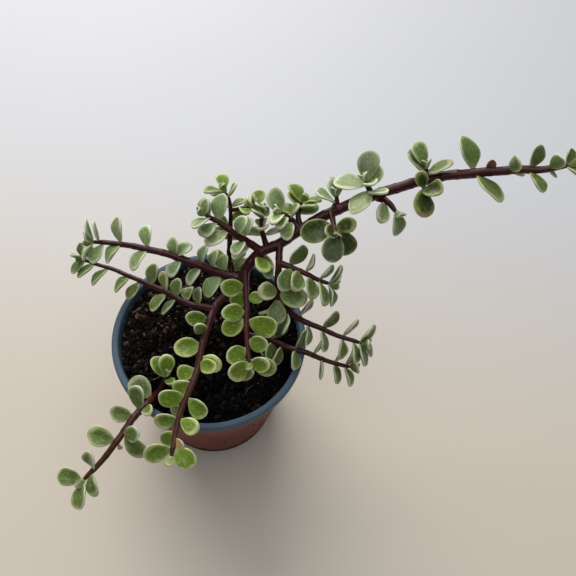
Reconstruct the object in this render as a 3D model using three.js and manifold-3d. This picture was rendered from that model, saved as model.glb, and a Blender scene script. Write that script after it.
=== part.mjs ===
// Variegated elephant bush (Portulacaria afra) in a two-tone plastic nursery pot.
// Units are millimetres, +Z is up, and the origin is the centre of the pot's underside.
// Every leafy stem is one solid: a tapered, bent stem with its twigs and leaf pairs fused on.

import * as THREE from "three";
import { mergeVertices } from "three/addons/utils/BufferGeometryUtils.js";
import Module from "manifold-3d";

const wasm = await Module();
wasm.setup();

// ---------------------------------------------------------------- driving dimensions

const POT = {
  height: 110,
  rimRadius: 60, // outside of the rolled rim: a 12 cm pot
  mouthRadius: 56, // inside of the rim
  rimDepth: 6, // height of the rolled rim's outer face
  footRadius: 43.5,
  wall: 1.6,
  floor: 3,
  grooveDepth: 1, // depth of the ring-shaped groove that the drain holes open into
  footWidth: 7,
  centrePad: 12, // radius of the flat pad in the middle of the underside
  drainHoles: 8,
  drainRadius: 3.5,
  drainCircle: 27,
  edge: 1, // height and width of the broken corners
  footRound: 1.5, // inside corner between floor and wall
  segments: 40,
};

const SOIL = {
  level: 104,
  relief: 1.4, // height of the humps in the soil's surface
  gap: 0.3, // clearance to the pot
  footRound: 2.2, // corner that stands clear of the pot's inside corner
  skirt: 2, // how far under the level the surface meets the pot
  stemGap: 0.4, // clearance round a stem in its hole
  segments: 40,
  rings: [46, 24], // radii of the surface's rings of points
};

const STEM = {
  sides: 6,
  step: 12, // mm of stem between two rings
  saddleGap: 0.3, // clearance between a branch's root and the stem it grows from
};

const LEAF = {
  sides: 6,
  widthToLength: 0.7,
  halfThickness: 0.95,
  cup: 0.07, // how far the leaf's edges rise, as a share of its length
  bow: 0.1, // how far the leaf's tip bends back, as a share of its length
  basePitch: 80, // degrees between leaf and stem near the stem's root
  tipPitch: 58, // and at its growing tip
  lift: 0.25, // pull of the light on the leaf's direction
  light: 1.6, // pull of the light on the leaf's upper face
  pitchScatter: 7, // degrees
  rollScatter: 9,
  twistScatter: 16,
  // Rings from the root to near the tip: distance along the leaf and share of the full width.
  rings: [
    { at: 0, width: 0.16 },
    { at: 0.58, width: 1 },
    { at: 0.87, width: 0.76 },
  ],
};

const CLEARANCE = {
  leaf: 1.1, // kept between a leaf and the leaves and stems of other branches
  neighbour: 0.5, // kept between two leaves of one branch
  pot: 1.2,
  // Turns tried in order, in degrees of roll round the stem and of pitch from it.
  turns: [
    [0, 0], [0, -14], [0, 14], [16, 0], [-16, 0], [16, -14], [-16, -14], [30, 0], [-30, 0],
    [30, -16], [-30, -16], [45, 0], [-45, 0], [45, -20], [-45, -20], [60, -10], [-60, -10],
    [75, 0], [-75, 0], [90, 10], [-90, 10], [110, 0], [-110, 0], [130, -15], [-130, -15],
  ],
};

const MERGE = 1e-4; // points closer than this are one point
const UP = new THREE.Vector3(0, 0, 1);
const BACK = new THREE.Vector3(0, 1, 0);

// ---------------------------------------------------------------- the plant's layout
// Each branch is a list of shoots: the stem itself, then the twigs that grow on it.
// route: points of the shoot's centre line.
// girth: rows of [distance along the shoot, radius].
// pairs: opposite leaves as [distance, roll, first length, second length, pitch, light], where
// pitch and light are left out if they follow the rule. Angles are in degrees. Roll 0 points
// the first leaf up, or back on an upright shoot. A length of 0 is a fallen leaf.
// light: pull of the light on the upper face of a leaf, or of all this shoot's leaves.

const BRANCHES = [
  {
    name: "main_stem",
    on: "soil",
    shoots: [
      {
        route: [
          [19, 2, 84], [19, 3, 104], [18, 9, 124], [17, 18, 141], [18, 25, 151], [25, 33, 158],
          [36, 39, 163], [46, 46, 168], [64, 57, 176], [83, 64, 184], [104, 71, 192],
          [119, 74, 197], [139, 76, 203], [156, 77, 207], [172, 78, 210], [186, 80, 214],
        ],
        girth: [[0, 4], [60, 3.2], [75, 2.9], [150, 3], [205, 2.8], [240, 2.4], [266, 1.5]],
        pairs: [
          [78, 165, 17, 0, 80], [215, -62, 21, 0, 98, 5], [216, 118, 22, 0, 58, 1.2],
          [233, 20, 13, 14], [244, -70, 15, 15], [254, 20, 12, 12], [263, -70, 10, 10],
        ],
      },
      {
        upright: true,
        route: [[84, 65, 184], [82, 66, 189], [78, 68, 194]],
        girth: [[0, 2.1], [11, 1.4]],
        pairs: [
          [4, -125, 15, 0, 84], [5, 150, 19, 0, 84], [6, -35, 14, 0, 60], [7, -80, 12, 0, 66],
          [8, 88, 20, 0, 76], [10, 5, 18, 0, 70],
        ],
      },
      {
        upright: true,
        route: [[64, 58, 176], [65, 61, 179], [64, 64, 183]],
        girth: [[0, 2], [9, 1.4]],
        pairs: [[4, 110, 16, 0, 70], [6, 60, 14, 0, 62], [8, 0, 12, 0, 40]],
      },
      {
        route: [[63, 56, 176], [64, 47, 179], [66, 38, 181]],
        girth: [[0, 2], [19, 1.4]],
        pairs: [
          [18, 60, 12, 0, 50], [12, 110, 19, 0, 84], [14, 100, 0, 13, 85], [15, -120, 18, 0, 66],
          [17, 170, 18, 0, 60],
        ],
      },
      {
        route: [[88, 65, 184], [94, 60, 186], [99, 54, 186]],
        girth: [[0, 2.1], [16, 1.5]],
        pairs: [[5, 120, 14, 0, 66, 0.8], [14, 165, 15, 0, 56, 0.8]],
      },
      {
        route: [[111, 73, 195], [111, 69, 195], [112, 65, 195]],
        girth: [[0, 1.9], [8, 1.4]],
        pairs: [[7, 30, 11, 0, 105], [6, 110, 19, 16, 32]],
      },
      {
        upright: true,
        route: [[111, 73, 195], [112, 75, 198], [111, 77, 201]],
        girth: [[0, 1.8], [7, 1.3]],
        pairs: [[4, 60, 16, 16, 58], [7, 15, 15, 0, 40]],
      },
      {
        route: [[46, 47, 168], [40, 50, 172], [33, 51, 176]],
        girth: [[0, 2.4], [15, 1.4]],
        pairs: [
          [7, -90, 13, 0, 112], [8, 40, 11, 0, 80], [11, -90, 12, 0, 85], [13, -85, 12, 0, 58],
          [14, 85, 16, 0, 50], [15, 180, 12, 0, 20],
        ],
      },
      {
        route: [[46, 49, 168], [44, 55, 172], [46, 61, 177]],
        girth: [[0, 1.9], [14, 1.2]],
        pairs: [[7, 100, 13, 14], [11, 20, 13, 12], [14, 95, 12, 13]],
      },
    ],
  },
  {
    name: "back_left_branch",
    on: "main_stem",
    shoots: [
      {
        route: [[26, 34, 159], [17, 36, 165], [11, 35, 171], [0, 38, 177], [-8, 39, 181]],
        girth: [[0, 2.4], [25, 2], [40, 1.3]],
        pairs: [
          [7, 40, 0, 14], [13, 65, 13, 13], [19, 30, 12, 0], [24, 60, 0, 16], [32, 65, 16, 13],
          [37, 90, 12, 14], [40, 40, 10, 0],
        ],
      },
    ],
  },
  {
    name: "back_upright_branch",
    on: "main_stem",
    shoots: [
      {
        route: [
          [18, 14, 135], [12, 24, 134], [7, 35, 141], [6, 44, 152], [5, 52, 163], [3, 59, 171],
          [0, 62, 175],
        ],
        girth: [[0, 2.2], [30, 1.8], [66, 1.1]],
        pairs: [
          [14, 75, 12, 12], [20, 100, 13, 12], [26, 70, 12, 13], [33, 80, 12, 0], [40, 90, 11, 12],
          [48, 80, 0, 12], [52, 100, 11, 0], [60, 100, 10, 11], [66, 30, 12, 11], [70, 90, 11, 13],
        ],
      },
      {
        route: [[4, 55, 166], [10, 55, 169], [17, 57, 171]],
        girth: [[0, 1.2], [17, 0.9]],
        pairs: [[8, 80, 10, 10], [12, 20, 10, 11], [15, 80, 11, 11], [16, 10, 9, 0]],
      },
    ],
  },
  {
    name: "back_twig",
    on: "main_stem",
    shoots: [
      {
        upright: true,
        route: [[29, 36, 160], [26, 41, 165], [24, 46, 170], [25, 51, 175]],
        girth: [[0, 1.9], [23, 1.1]],
        pairs: [[8, 100, 12, 11], [12, 20, 11, 12], [15, 85, 11, 12], [18, 20, 12, 0], [21, 100, 11, 10]],
      },
    ],
  },
  {
    name: "upper_left_branch",
    on: "main_stem",
    shoots: [
      {
        route: [
          [17, 21, 146], [5, 24, 144], [-7, 26, 147], [-23, 28, 150], [-41, 29, 153], [-56, 30, 153],
          [-74, 29, 152],
        ],
        girth: [[0, 2.8], [60, 2.1], [95, 1.3]],
        pairs: [
          [13, 60, 12, 16], [20, 70, 12, 0], [26, 60, 13, 14], [38, 60, 0, 13], [42, 50, 12, 0, 55],
          [43, 35, 12, 0, 125], [59, 60, 14, 15], [75, 60, 16, 14], [85, 60, 0, 14],
          [88, 60, 13, 0, 70, 0.4], [91, 60, 14, 12, 60, 0.6], [92, 10, 9, 0],
        ],
      },
    ],
  },
  {
    name: "front_branch",
    on: "main_stem",
    shoots: [
      {
        route: [
          [17, 19, 141], [11, 15, 139], [4, 7, 138], [1, -12, 137], [0, -34, 135], [-2, -47, 134],
          [-4, -56, 132], [-5, -67, 131], [-5, -77, 129], [-5, -82, 127],
        ],
        girth: [[0, 2.7], [60, 2], [110, 1.5]],
        pairs: [
          [29, 80, 14, 0], [37, 25, 11, 0], [45, 95, 16, 0], [52, -80, 14, 0], [56, -55, 12, 0, 75],
          [59, 120, 14, 0], [67, 135, 13, 0], [76, 90, 15, 15], [81, 130, 14, 0], [88, 95, 13, 13],
          [95, 150, 12, 0], [104, 85, 15, 15],
        ],
      },
    ],
  },
  {
    name: "lower_left_branch",
    on: "front_branch",
    shoots: [
      {
        route: [
          [3, 3, 138], [-4, 5, 136], [-13, 7, 134], [-22, 11, 132], [-42, 20, 128], [-61, 27, 125],
          [-86, 34, 122],
        ],
        girth: [[0, 2.1], [50, 1.7], [100, 1.1]],
        pairs: [
          [10, 60, 11, 0], [18, 80, 12, 0], [26, 70, 12, 13], [34, 65, 14, 14], [45, 60, 14, 0],
          [54, 60, 0, 14], [62, 60, 0, 14], [78, 60, 0, 15], [88, 60, 13, 14], [93, 150, 13, 0],
          [95, 60, 12, 12], [96, 10, 10, 0],
        ],
      },
    ],
  },
  {
    name: "middle_branch",
    on: "main_stem",
    shoots: [
      {
        route: [[18, 24, 151], [21, 10, 148], [24, -10, 145], [29, -30, 142]],
        girth: [[0, 2.3], [20, 1.8], [56, 1.5]],
        pairs: [
          [9, 80, 15, 0], [11, 120, 14, 0], [16, -60, 10, 0], [25, 75, 15, 0], [29, 110, 16, 0],
          [30, -95, 18, 0], [42, -60, 13, 0], [46, 75, 15, 0], [51, 105, 16, 0],
          [53, -100, 16, 0, 60], [54, 165, 15, 0, 40], [55, -60, 13, 0],
        ],
      },
    ],
  },
  {
    name: "right_drooping_branch",
    on: "main_stem",
    shoots: [
      {
        light: 0.5,
        route: [
          [36, 39, 163], [37, 26, 160], [38, 17, 150], [41, 11, 142], [54, 6, 135], [67, 3, 133],
          [81, 0, 131], [93, -2, 130],
        ],
        girth: [[0, 2.2], [50, 1.9], [96, 1.2]],
        pairs: [
          [28, 85, 15, 0, 85, 2], [30, -60, 18, 0, 75, 2], [33, 40, 16, 0, 50, 2], [38, 100, 15, 15],
          [44, -65, 0, 14], [51, -65, 14, 0], [58, -60, 0, 13], [67, -65, 14, 14], [80, -65, 14, 13],
          [87, -60, 0, 13], [91, -65, 14, 14], [93, 20, 9, 12],
        ],
      },
    ],
  },
  {
    name: "right_side_twig",
    on: "right_drooping_branch",
    shoots: [
      {
        light: 0.5,
        route: [[37, 27, 160], [43, 26, 160], [51, 24, 159], [62, 21, 157], [69, 20, 156]],
        girth: [[0, 2], [33, 1.2]],
        pairs: [
          [6, -70, 15, 0, 70, 1], [8, 100, 16, 0, 95, 2], [13, 105, 15, 0, 75, 2],
          [16, -65, 12, 0], [19, -50, 0, 15, 75, 1.2], [25, -65, 12, 15],
          [31, -60, 13, 13], [32, -20, 9, 0],
        ],
      },
    ],
  },
  {
    name: "lower_right_branch",
    on: "main_stem",
    shoots: [
      {
        light: 0.5,
        route: [
          [19, 4, 107], [27, 3, 110], [36, 2, 112], [48, -3, 113], [60, -5, 114], [70, -7, 113],
          [83, -9, 111], [90, -9, 110],
        ],
        girth: [[0, 2.4], [40, 1.9], [74, 1.2]],
        pairs: [
          [12, -60, 0, 13], [21, -70, 14, 14], [28, -60, 0, 14], [37, -60, 14, 14], [48, -65, 14, 0],
          [54, -60, 0, 13], [62, -60, 12, 13], [69, -65, 13, 13], [72, 20, 10, 12],
        ],
      },
    ],
  },
  {
    name: "low_front_branch",
    on: "soil",
    shoots: [
      {
        route: [
          [-20, -28, 90], [-23, -36, 99], [-25, -43, 107], [-26, -49, 114], [-31, -60, 119],
          [-36, -73, 119], [-43, -85, 116], [-51, -97, 113],
        ],
        girth: [[0, 2.6], [30, 2.4], [89, 1.5]],
        pairs: [
          [29, 60, 17, 0, 105], [35, -60, 10, 0, 38], [42, 0, 16, 0, 100], [46, 95, 14, 0, 75],
          [55, 75, 0, 18], [57, -65, 13, 0, 120], [62, 90, 17, 0], [80, 30, 14, 0, 110],
          [83, 100, 0, 13], [88, 80, 14, 15],
        ],
      },
      {
        route: [[-24, -41, 104], [-22, -36, 109], [-20, -31, 113]],
        girth: [[0, 1.6], [14, 1.1]],
        pairs: [[10, 70, 8, 0, 65], [12, -90, 14, 0, 50], [13, 60, 14, 0, 15]],
      },
    ],
  },
];

// ---------------------------------------------------------------- solids

/** Turns a closed three.js geometry into a solid. */
function solid(geometry) {
  geometry.deleteAttribute("normal");
  geometry.deleteAttribute("uv");
  const merged = mergeVertices(geometry, MERGE);
  return new wasm.Manifold(
    new wasm.Mesh({
      numProp: 3,
      vertProperties: new Float32Array(merged.attributes.position.array),
      triVerts: new Uint32Array(merged.index.array),
    }),
  );
}

/** Turns a solid into a named mesh. */
function namedMesh(name, body, material) {
  const data = body.getMesh();
  const geometry = new THREE.BufferGeometry();
  geometry.setAttribute("position", new THREE.BufferAttribute(data.vertProperties, 3));
  geometry.setIndex(new THREE.BufferAttribute(data.triVerts, 1));
  geometry.computeVertexNormals();
  const mesh = new THREE.Mesh(geometry, material);
  mesh.name = name;
  return mesh;
}

/** Joins a list of solids into one. */
const join = (bodies) => bodies.reduce((whole, body) => whole.add(body));

/** A closed solid turned about Z from a profile of [radius, height] points. */
function turned(profile, segments) {
  const points = profile.map(([radius, height]) => new THREE.Vector2(radius, height));
  return solid(new THREE.LatheGeometry(points, segments).rotateX(Math.PI / 2));
}

/** Straight line between the rows of a table of [distance, value]. */
function tableValue(table, distance) {
  const next = table.findIndex(([at]) => at >= distance);
  if (next < 0) return table.at(-1)[1];
  if (next === 0) return table[0][1];
  const [fromAt, from] = table[next - 1];
  const [toAt, to] = table[next];
  return THREE.MathUtils.mapLinear(distance, fromAt, toAt, from, to);
}

/** A fixed scatter between -1 and 1 for a whole number. */
function scatter(number) {
  const wave = Math.sin(number * 12.9898 + 4.1) * 43758.5453;
  return 2 * (wave - Math.floor(wave)) - 1;
}

// ---------------------------------------------------------------- pot and soil

/** Outer radius of the pot's wall, under the rim, at a height. */
function wallRadius(height) {
  const top = POT.mouthRadius + POT.wall;
  return THREE.MathUtils.mapLinear(height, 0, POT.height, POT.footRadius, top);
}

function potSolid() {
  const rimFoot = POT.height - POT.rimDepth;
  const innerFoot = wallRadius(POT.floor) - POT.wall;
  const ring = POT.footRadius - POT.footWidth;
  const { edge, footRound } = POT;
  const body = turned(
    [
      [0, 0],
      [POT.centrePad, 0],
      [POT.centrePad + edge, POT.grooveDepth],
      [ring, POT.grooveDepth],
      [ring + edge, 0],
      [POT.footRadius - edge / 2, 0],
      [POT.footRadius, edge],
      [wallRadius(rimFoot - edge), rimFoot - edge],
      [POT.rimRadius - edge / 2, rimFoot],
      [POT.rimRadius, rimFoot + edge],
      [POT.rimRadius, POT.height - edge],
      [POT.rimRadius - edge, POT.height],
      [POT.mouthRadius + edge, POT.height],
      [POT.mouthRadius, POT.height - edge],
      [wallRadius(rimFoot - 2 * edge) - POT.wall, rimFoot - 2 * edge],
      [innerFoot, POT.floor + footRound],
      [innerFoot - footRound, POT.floor],
      [0, POT.floor],
    ],
    POT.segments,
  );
  const drill = new THREE.CylinderGeometry(POT.drainRadius, POT.drainRadius, 4 * POT.floor, 8);
  const holes = Array.from({ length: POT.drainHoles }, (_, index) => {
    const angle = (2 * Math.PI * index) / POT.drainHoles;
    const hole = drill.clone().rotateX(Math.PI / 2);
    hole.translate(POT.drainCircle * Math.cos(angle), POT.drainCircle * Math.sin(angle), 0);
    return solid(hole);
  });
  return body.subtract(join(holes));
}

/** Height of the soil's surface above its level. */
function soilRelief(x, y) {
  return SOIL.relief * (Math.sin(x * 0.19 + 1) * Math.cos(y * 0.23) + 0.4 * Math.sin((x - y) * 0.4));
}

function soilSolid() {
  const edge = (height) => wallRadius(height) - POT.wall - SOIL.gap;
  const bottom = POT.floor + SOIL.gap;
  const shoulder = bottom + SOIL.footRound;
  const rim = SOIL.level - SOIL.skirt;
  const profile = [
    [0, bottom],
    [edge(bottom) - SOIL.footRound, bottom],
    [edge(shoulder), shoulder],
    [edge(rim), rim],
    ...SOIL.rings.map((radius) => [radius, SOIL.level]),
    [0, SOIL.level],
  ];
  const points = profile.map(([radius, height]) => new THREE.Vector2(radius, height));
  const geometry = new THREE.LatheGeometry(points, SOIL.segments).rotateX(Math.PI / 2);
  const position = geometry.attributes.position;
  for (let index = 0; index < position.count; index += 1) {
    if (position.getZ(index) < SOIL.level - MERGE) continue;
    const [x, y] = [position.getX(index), position.getY(index)];
    position.setZ(index, SOIL.level + soilRelief(x, y));
  }
  return solid(geometry);
}

// ---------------------------------------------------------------- shoots

/** A shoot's centre line with a steady side and top direction along it. */
class Shoot {
  constructor({ route, girth, pairs, upright = false, light = LEAF.light }) {
    const points = route.map((point) => new THREE.Vector3(...point));
    this.curve = new THREE.CatmullRomCurve3(points);
    this.curve.arcLengthDivisions = 40 * route.length;
    this.length = this.curve.getLength();
    this.girth = girth;
    this.pairs = pairs;
    this.reference = upright ? BACK : UP;
    this.light = light;
  }

  radius(distance) {
    return tableValue(this.girth, distance);
  }

  frame(distance) {
    const share = THREE.MathUtils.clamp(distance / this.length, 0, 1);
    const along = this.curve.getTangentAt(share);
    const top = this.reference.clone().projectOnPlane(along).normalize();
    const side = along.clone().cross(top);
    return { centre: this.curve.getPointAt(share), along, top, side };
  }

  /** The bare stem, grown by extra at its sides and ends. */
  stem(extra = 0) {
    const rings = Math.max(2, Math.round(this.length / STEM.step));
    const geometry = new THREE.CylinderGeometry(1, 1, 1, STEM.sides, rings);
    const position = geometry.attributes.position;
    const point = new THREE.Vector3();
    for (let index = 0; index < position.count; index += 1) {
      point.fromBufferAttribute(position, index);
      const distance = (point.y + 0.5) * this.length;
      const { centre, along, side, top } = this.frame(distance);
      const radius = this.radius(distance) + extra;
      const isEnd = Math.abs(point.y) > 0.5 - MERGE;
      if (isEnd) centre.addScaledVector(along, Math.sign(point.y) * extra);
      centre.addScaledVector(side, point.x * radius).addScaledVector(top, point.z * radius);
      position.setXYZ(index, centre.x, centre.y, centre.z);
    }
    return solid(geometry);
  }

  /** A leaf that is turned round the stem, leaned from it and twisted on its own axis. */
  leaf(distance, { length, roll, pitch, light, twist }) {
    const { centre, along, top, side } = this.frame(distance);
    const turn = THREE.MathUtils.degToRad(roll);
    const lean = THREE.MathUtils.degToRad(pitch);
    const out = top.multiplyScalar(Math.cos(turn)).addScaledVector(side, Math.sin(turn));
    const direction = along.clone().multiplyScalar(Math.cos(lean));
    direction.addScaledVector(out, Math.sin(lean)).addScaledVector(UP, LEAF.lift).normalize();
    const face = along.addScaledVector(UP, light).projectOnPlane(direction).normalize();
    face.applyAxisAngle(direction, THREE.MathUtils.degToRad(twist));
    return new Leaf(centre, direction, face, length);
  }
}

/** One thick, spoon-shaped leaf. */
class Leaf {
  constructor(root, direction, face, length) {
    this.root = root;
    this.direction = direction;
    this.face = face;
    this.side = direction.clone().cross(face);
    this.length = length;
    this.halfWidth = (length * LEAF.widthToLength) / 2;
  }

  /** Point of the leaf: share along it, share across it, and height above its middle. */
  at(share, across, height) {
    const rise = this.length * (LEAF.cup * across * across * share - LEAF.bow * share * share);
    return this.root
      .clone()
      .addScaledVector(this.direction, share * this.length)
      .addScaledVector(this.side, across * this.halfWidth)
      .addScaledVector(this.face, height + rise);
  }

  solid() {
    const last = LEAF.rings.length - 1;
    const geometry = new THREE.CylinderGeometry(1, 1, 1, LEAF.sides, last);
    const position = geometry.attributes.position;
    const sideCorner = Math.sin(Math.PI / 3);
    for (let index = 0; index < position.count; index += 1) {
      const [x, y, z] = [position.getX(index), position.getY(index), position.getZ(index)];
      const ring = LEAF.rings[Math.round((y + 0.5) * last)];
      const thickness = z * LEAF.halfThickness * Math.sqrt(ring.width);
      const isTip = y > 0 && Math.hypot(x, z) < MERGE;
      const point = isTip
        ? this.at(1, 0, 0)
        : this.at(ring.at, (x / sideCorner) * ring.width, thickness);
      position.setXYZ(index, point.x, point.y, point.z);
    }
    return solid(geometry);
  }

  /** Points spread over the blade, for the clearance test. */
  samples() {
    const rows = [0.35, 0.55, 0.75, 0.92];
    const blade = rows.flatMap((share) => [-0.85, 0, 0.85].map((across) => this.at(share, across, 0)));
    return [...blade, this.at(1, 0, 0)];
  }

  /** Whether a point is within a margin of the blade. */
  isNear(point, margin) {
    const offset = point.clone().sub(this.root);
    const along = offset.dot(this.direction);
    const share = along / this.length;
    if (share < 0.1 || along > this.length + margin) return false;
    const across = offset.dot(this.side);
    if (Math.abs(across) > this.halfWidth + margin) return false;
    const spread = across / this.halfWidth;
    const rise = this.length * (LEAF.cup * spread * spread * share - LEAF.bow * share * share);
    return Math.abs(offset.dot(this.face) - rise) < LEAF.halfThickness + margin;
  }
}

// ---------------------------------------------------------------- keeping clear

/** Whether a point of a leaf is inside or against the pot or the soil. */
function touchesPot(point) {
  const margin = CLEARANCE.pot;
  const reach = Math.hypot(point.x, point.y);
  if (point.z > POT.height + margin) return false;
  const inRim = reach > POT.mouthRadius - margin && reach < POT.rimRadius + margin;
  const inSoil = reach <= POT.mouthRadius && point.z < SOIL.level + SOIL.relief + margin;
  return inRim || inSoil;
}

/** Whether two leaves keep a margin between their blades. */
function areApart(leaf, other, margin) {
  if (other.root.distanceTo(leaf.root) > other.length + leaf.length + margin) return true;
  if (leaf.samples().some((point) => other.isNear(point, margin))) return false;
  return !other.samples().some((point) => leaf.isNear(point, margin));
}

/** Whether a leaf is clear of the pot, its branch's leaves, and other leaves and stems. */
function isClear(leaf, neighbours, others) {
  const margin = CLEARANCE.leaf;
  const points = leaf.samples();
  if (points.some(touchesPot)) return false;
  if (!neighbours.every((other) => areApart(leaf, other, CLEARANCE.neighbour))) return false;
  return others.every(({ leaves, spine }) => {
    const hitsStem = spine.some(({ centre, radius }) => (
      leaf.isNear(centre, radius + 0.6) || points.some((p) => p.distanceTo(centre) < radius + margin)
    ));
    return !hitsStem && leaves.every((other) => areApart(leaf, other, margin));
  });
}

/** Points down the middle of a shoot's stem. */
function spinePoints(shoot) {
  const count = Math.ceil(shoot.length / 2.5);
  return Array.from({ length: count + 1 }, (_, index) => {
    const distance = (index * shoot.length) / count;
    return { centre: shoot.frame(distance).centre, radius: shoot.radius(distance) };
  });
}

/** Places a shoot's leaves on its branch, each at the first turn that keeps it clear. */
function placeLeaves(shoot, leaves, others, seed) {
  shoot.pairs.forEach(([distance, roll, first, second, setPitch, setLight], pair) => {
    const rulePitch = THREE.MathUtils.lerp(LEAF.basePitch, LEAF.tipPitch, distance / shoot.length);
    [first, second].forEach((length, hand) => {
      if (length === 0) return;
      const number = seed + 2 * pair + hand;
      const pose = {
        length,
        roll: roll + 180 * hand + LEAF.rollScatter * scatter(number),
        pitch: (setPitch ?? rulePitch) + LEAF.pitchScatter * scatter(number + 0.5),
        light: setLight ?? shoot.light,
        twist: LEAF.twistScatter * scatter(number + 0.25),
      };
      for (const [rollTurn, pitchTurn] of CLEARANCE.turns) {
        const turn = { roll: pose.roll + rollTurn, pitch: pose.pitch + pitchTurn };
        const leaf = shoot.leaf(distance, { ...pose, ...turn });
        if (!isClear(leaf, leaves, others)) continue;
        leaves.push(leaf);
        return;
      }
    });
  });
}

// ---------------------------------------------------------------- assembly

const materials = {
  pot: new THREE.MeshStandardMaterial({ color: "#8a4a3c", roughness: 0.55, metalness: 0 }),
  soil: new THREE.MeshStandardMaterial({ color: "#2b211b", roughness: 0.95, metalness: 0 }),
  leafyStem: new THREE.MeshStandardMaterial({ color: "#7f9a5c", roughness: 0.45, metalness: 0 }),
};

const grown = BRANCHES.map(({ name, on, shoots }) => {
  const limbs = shoots.map((shoot) => new Shoot(shoot));
  return { name, on, limbs, spine: limbs.flatMap(spinePoints), leaves: [] };
});

grown.forEach((branch, index) => {
  const others = grown.filter((other) => other !== branch);
  branch.limbs.forEach((limb, twig) => {
    placeLeaves(limb, branch.leaves, others, 100 * index + 20 * twig);
  });
});

const stems = (branch, extra) => join(branch.limbs.map((limb) => limb.stem(extra)));

const plant = grown.map((branch) => {
  const parent = grown.find((other) => other.name === branch.on);
  const wood = stems(branch, 0);
  const rooted = parent ? wood.subtract(stems(parent, STEM.saddleGap)) : wood;
  return { name: branch.name, body: join([rooted, ...branch.leaves.map((leaf) => leaf.solid())]) };
});

const rootHoles = grown
  .filter((branch) => branch.on === "soil")
  .map((branch) => branch.limbs[0].stem(SOIL.stemGap));

const pottedPlant = new THREE.Group();
pottedPlant.add(namedMesh("pot", potSolid(), materials.pot));
pottedPlant.add(namedMesh("soil", soilSolid().subtract(join(rootHoles)), materials.soil));
for (const { name, body } of plant) {
  pottedPlant.add(namedMesh(name, body, materials.leafyStem.clone()));
}

export default pottedPlant;
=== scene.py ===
"""Looks of a young variegated elephant bush that grows in a two-tone nursery pot.

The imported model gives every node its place. Each leafy stem is grown again from the layout below
with fine leaves, knots and buds, and the pot and the potting mix are made to fit their nodes.
Layout, sizes and shapes are in millimetres and degrees. A Skin turns them into metres.
"""

from __future__ import annotations

import logging
import math
from collections.abc import Iterable
from dataclasses import dataclass, field
from enum import Enum

import bpy
import numpy as np
from mathutils import Matrix, Vector, noise


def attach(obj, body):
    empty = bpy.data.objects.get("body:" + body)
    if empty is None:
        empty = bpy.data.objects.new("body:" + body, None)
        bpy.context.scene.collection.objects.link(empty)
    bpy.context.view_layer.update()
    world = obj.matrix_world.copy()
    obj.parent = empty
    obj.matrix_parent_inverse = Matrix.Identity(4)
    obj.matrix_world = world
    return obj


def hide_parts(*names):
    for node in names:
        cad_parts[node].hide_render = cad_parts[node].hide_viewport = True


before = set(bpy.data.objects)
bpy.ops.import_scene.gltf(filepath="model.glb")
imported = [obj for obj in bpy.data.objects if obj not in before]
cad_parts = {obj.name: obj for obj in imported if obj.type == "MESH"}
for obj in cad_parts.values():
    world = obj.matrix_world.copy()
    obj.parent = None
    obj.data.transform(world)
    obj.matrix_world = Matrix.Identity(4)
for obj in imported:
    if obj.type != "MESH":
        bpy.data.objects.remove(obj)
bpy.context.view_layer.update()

Colour = tuple[float, float, float, float]
Triple = tuple[float, float, float]
Span = tuple[float, float]
Array = np.ndarray

MM = 0.001
UP = np.array([0.0, 0.0, 1.0])
BACK = np.array([0.0, 1.0, 0.0])
QUARTER_TURN = 90
HALF_TURN = 180

# The curve between a colour as it is seen and the light that makes it.
FULL_TONE = 255
CURVE_START = 0.04045
CURVE_SLOPE = 12.92
CURVE_OFFSET = 0.055
CURVE_POWER = 2.4


def shade(red: float, green: float, blue: float) -> Colour:
    """Turns a colour as it is seen into the linear one that a shader takes.

    Args:
        red: amount of red, from 0 to 255.
        green: amount of green, from 0 to 255.
        blue: amount of blue, from 0 to 255.

    Returns:
        The linear colour, with an alpha of 1.
    """
    shares = [tone / FULL_TONE for tone in (red, green, blue)]
    linear = [
        share / CURVE_SLOPE
        if share <= CURVE_START
        else ((share + CURVE_OFFSET) / (1 + CURVE_OFFSET)) ** CURVE_POWER
        for share in shares
    ]
    return (*linear, 1.0)


# ---------------------------------------------------------------- the plant's layout


class Tone(Enum):
    """How a shoot's leaves are coloured: the middle of the leaf, then its margin. Some tones paint
    light: a paler grey-green paints sheen on waxy leaves, a bright yellow-green paints lit shoots,
    and the darkest green paints shade on hanging shoots.
    """

    # Painted sheen: a paler, greyer leaf colour for shoots whose waxy leaves catch the light.
    SHEEN_GREY = (shade(130, 151, 92), shade(218, 222, 184))
    MILD = (shade(92, 114, 46), shade(190, 196, 144))
    # Painted shade: the darkest green, for leaves that hang in shade.
    SHADED = (shade(46, 66, 10), shade(144, 152, 80))
    # Painted light: a brighter yellow-green, for lit shoots.
    SUNNY = (shade(102, 130, 18), shade(202, 210, 132))
    DULL = (shade(92, 112, 48), shade(190, 194, 144))


@dataclass(frozen=True)
class Pair:
    """Two opposite leaves. A length of 0 is a fallen leaf.

    Attributes:
        distance: where they grow along the shoot.
        roll: turn of the first leaf round the shoot. Roll 0 points it up, or back on an upright
            shoot.
        first: length of the first leaf.
        second: length of the second leaf.
        pitch: lean from the shoot, or None where it follows the rule.
        light: pull of the light on the upper faces, or None where it is the shoot's.
    """

    distance: float
    roll: float
    first: float
    second: float
    pitch: float | None = None
    light: float | None = None


@dataclass(frozen=True)
class Shoot:
    """One stem or twig with its leaves.

    Attributes:
        route: points of the centre line.
        girth: rows of distance along the shoot and radius there.
        pairs: rows with what each Pair holds, in the same order.
        upright: whether the shoot stands up.
        light: pull of the light on the upper face of the leaves.
        tone: how the leaves are coloured, which paints light or shade on some shoots.
    """

    route: tuple[Triple, ...]
    girth: tuple[Span, ...]
    pairs: tuple[tuple[float, ...], ...]
    upright: bool = False
    light: float = 1.6
    tone: Tone = Tone.MILD


@dataclass(frozen=True)
class Branch:
    """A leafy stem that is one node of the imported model: its name, what it grows on, its shoots."""

    name: str
    on: str
    shoots: tuple[Shoot, ...]


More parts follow.
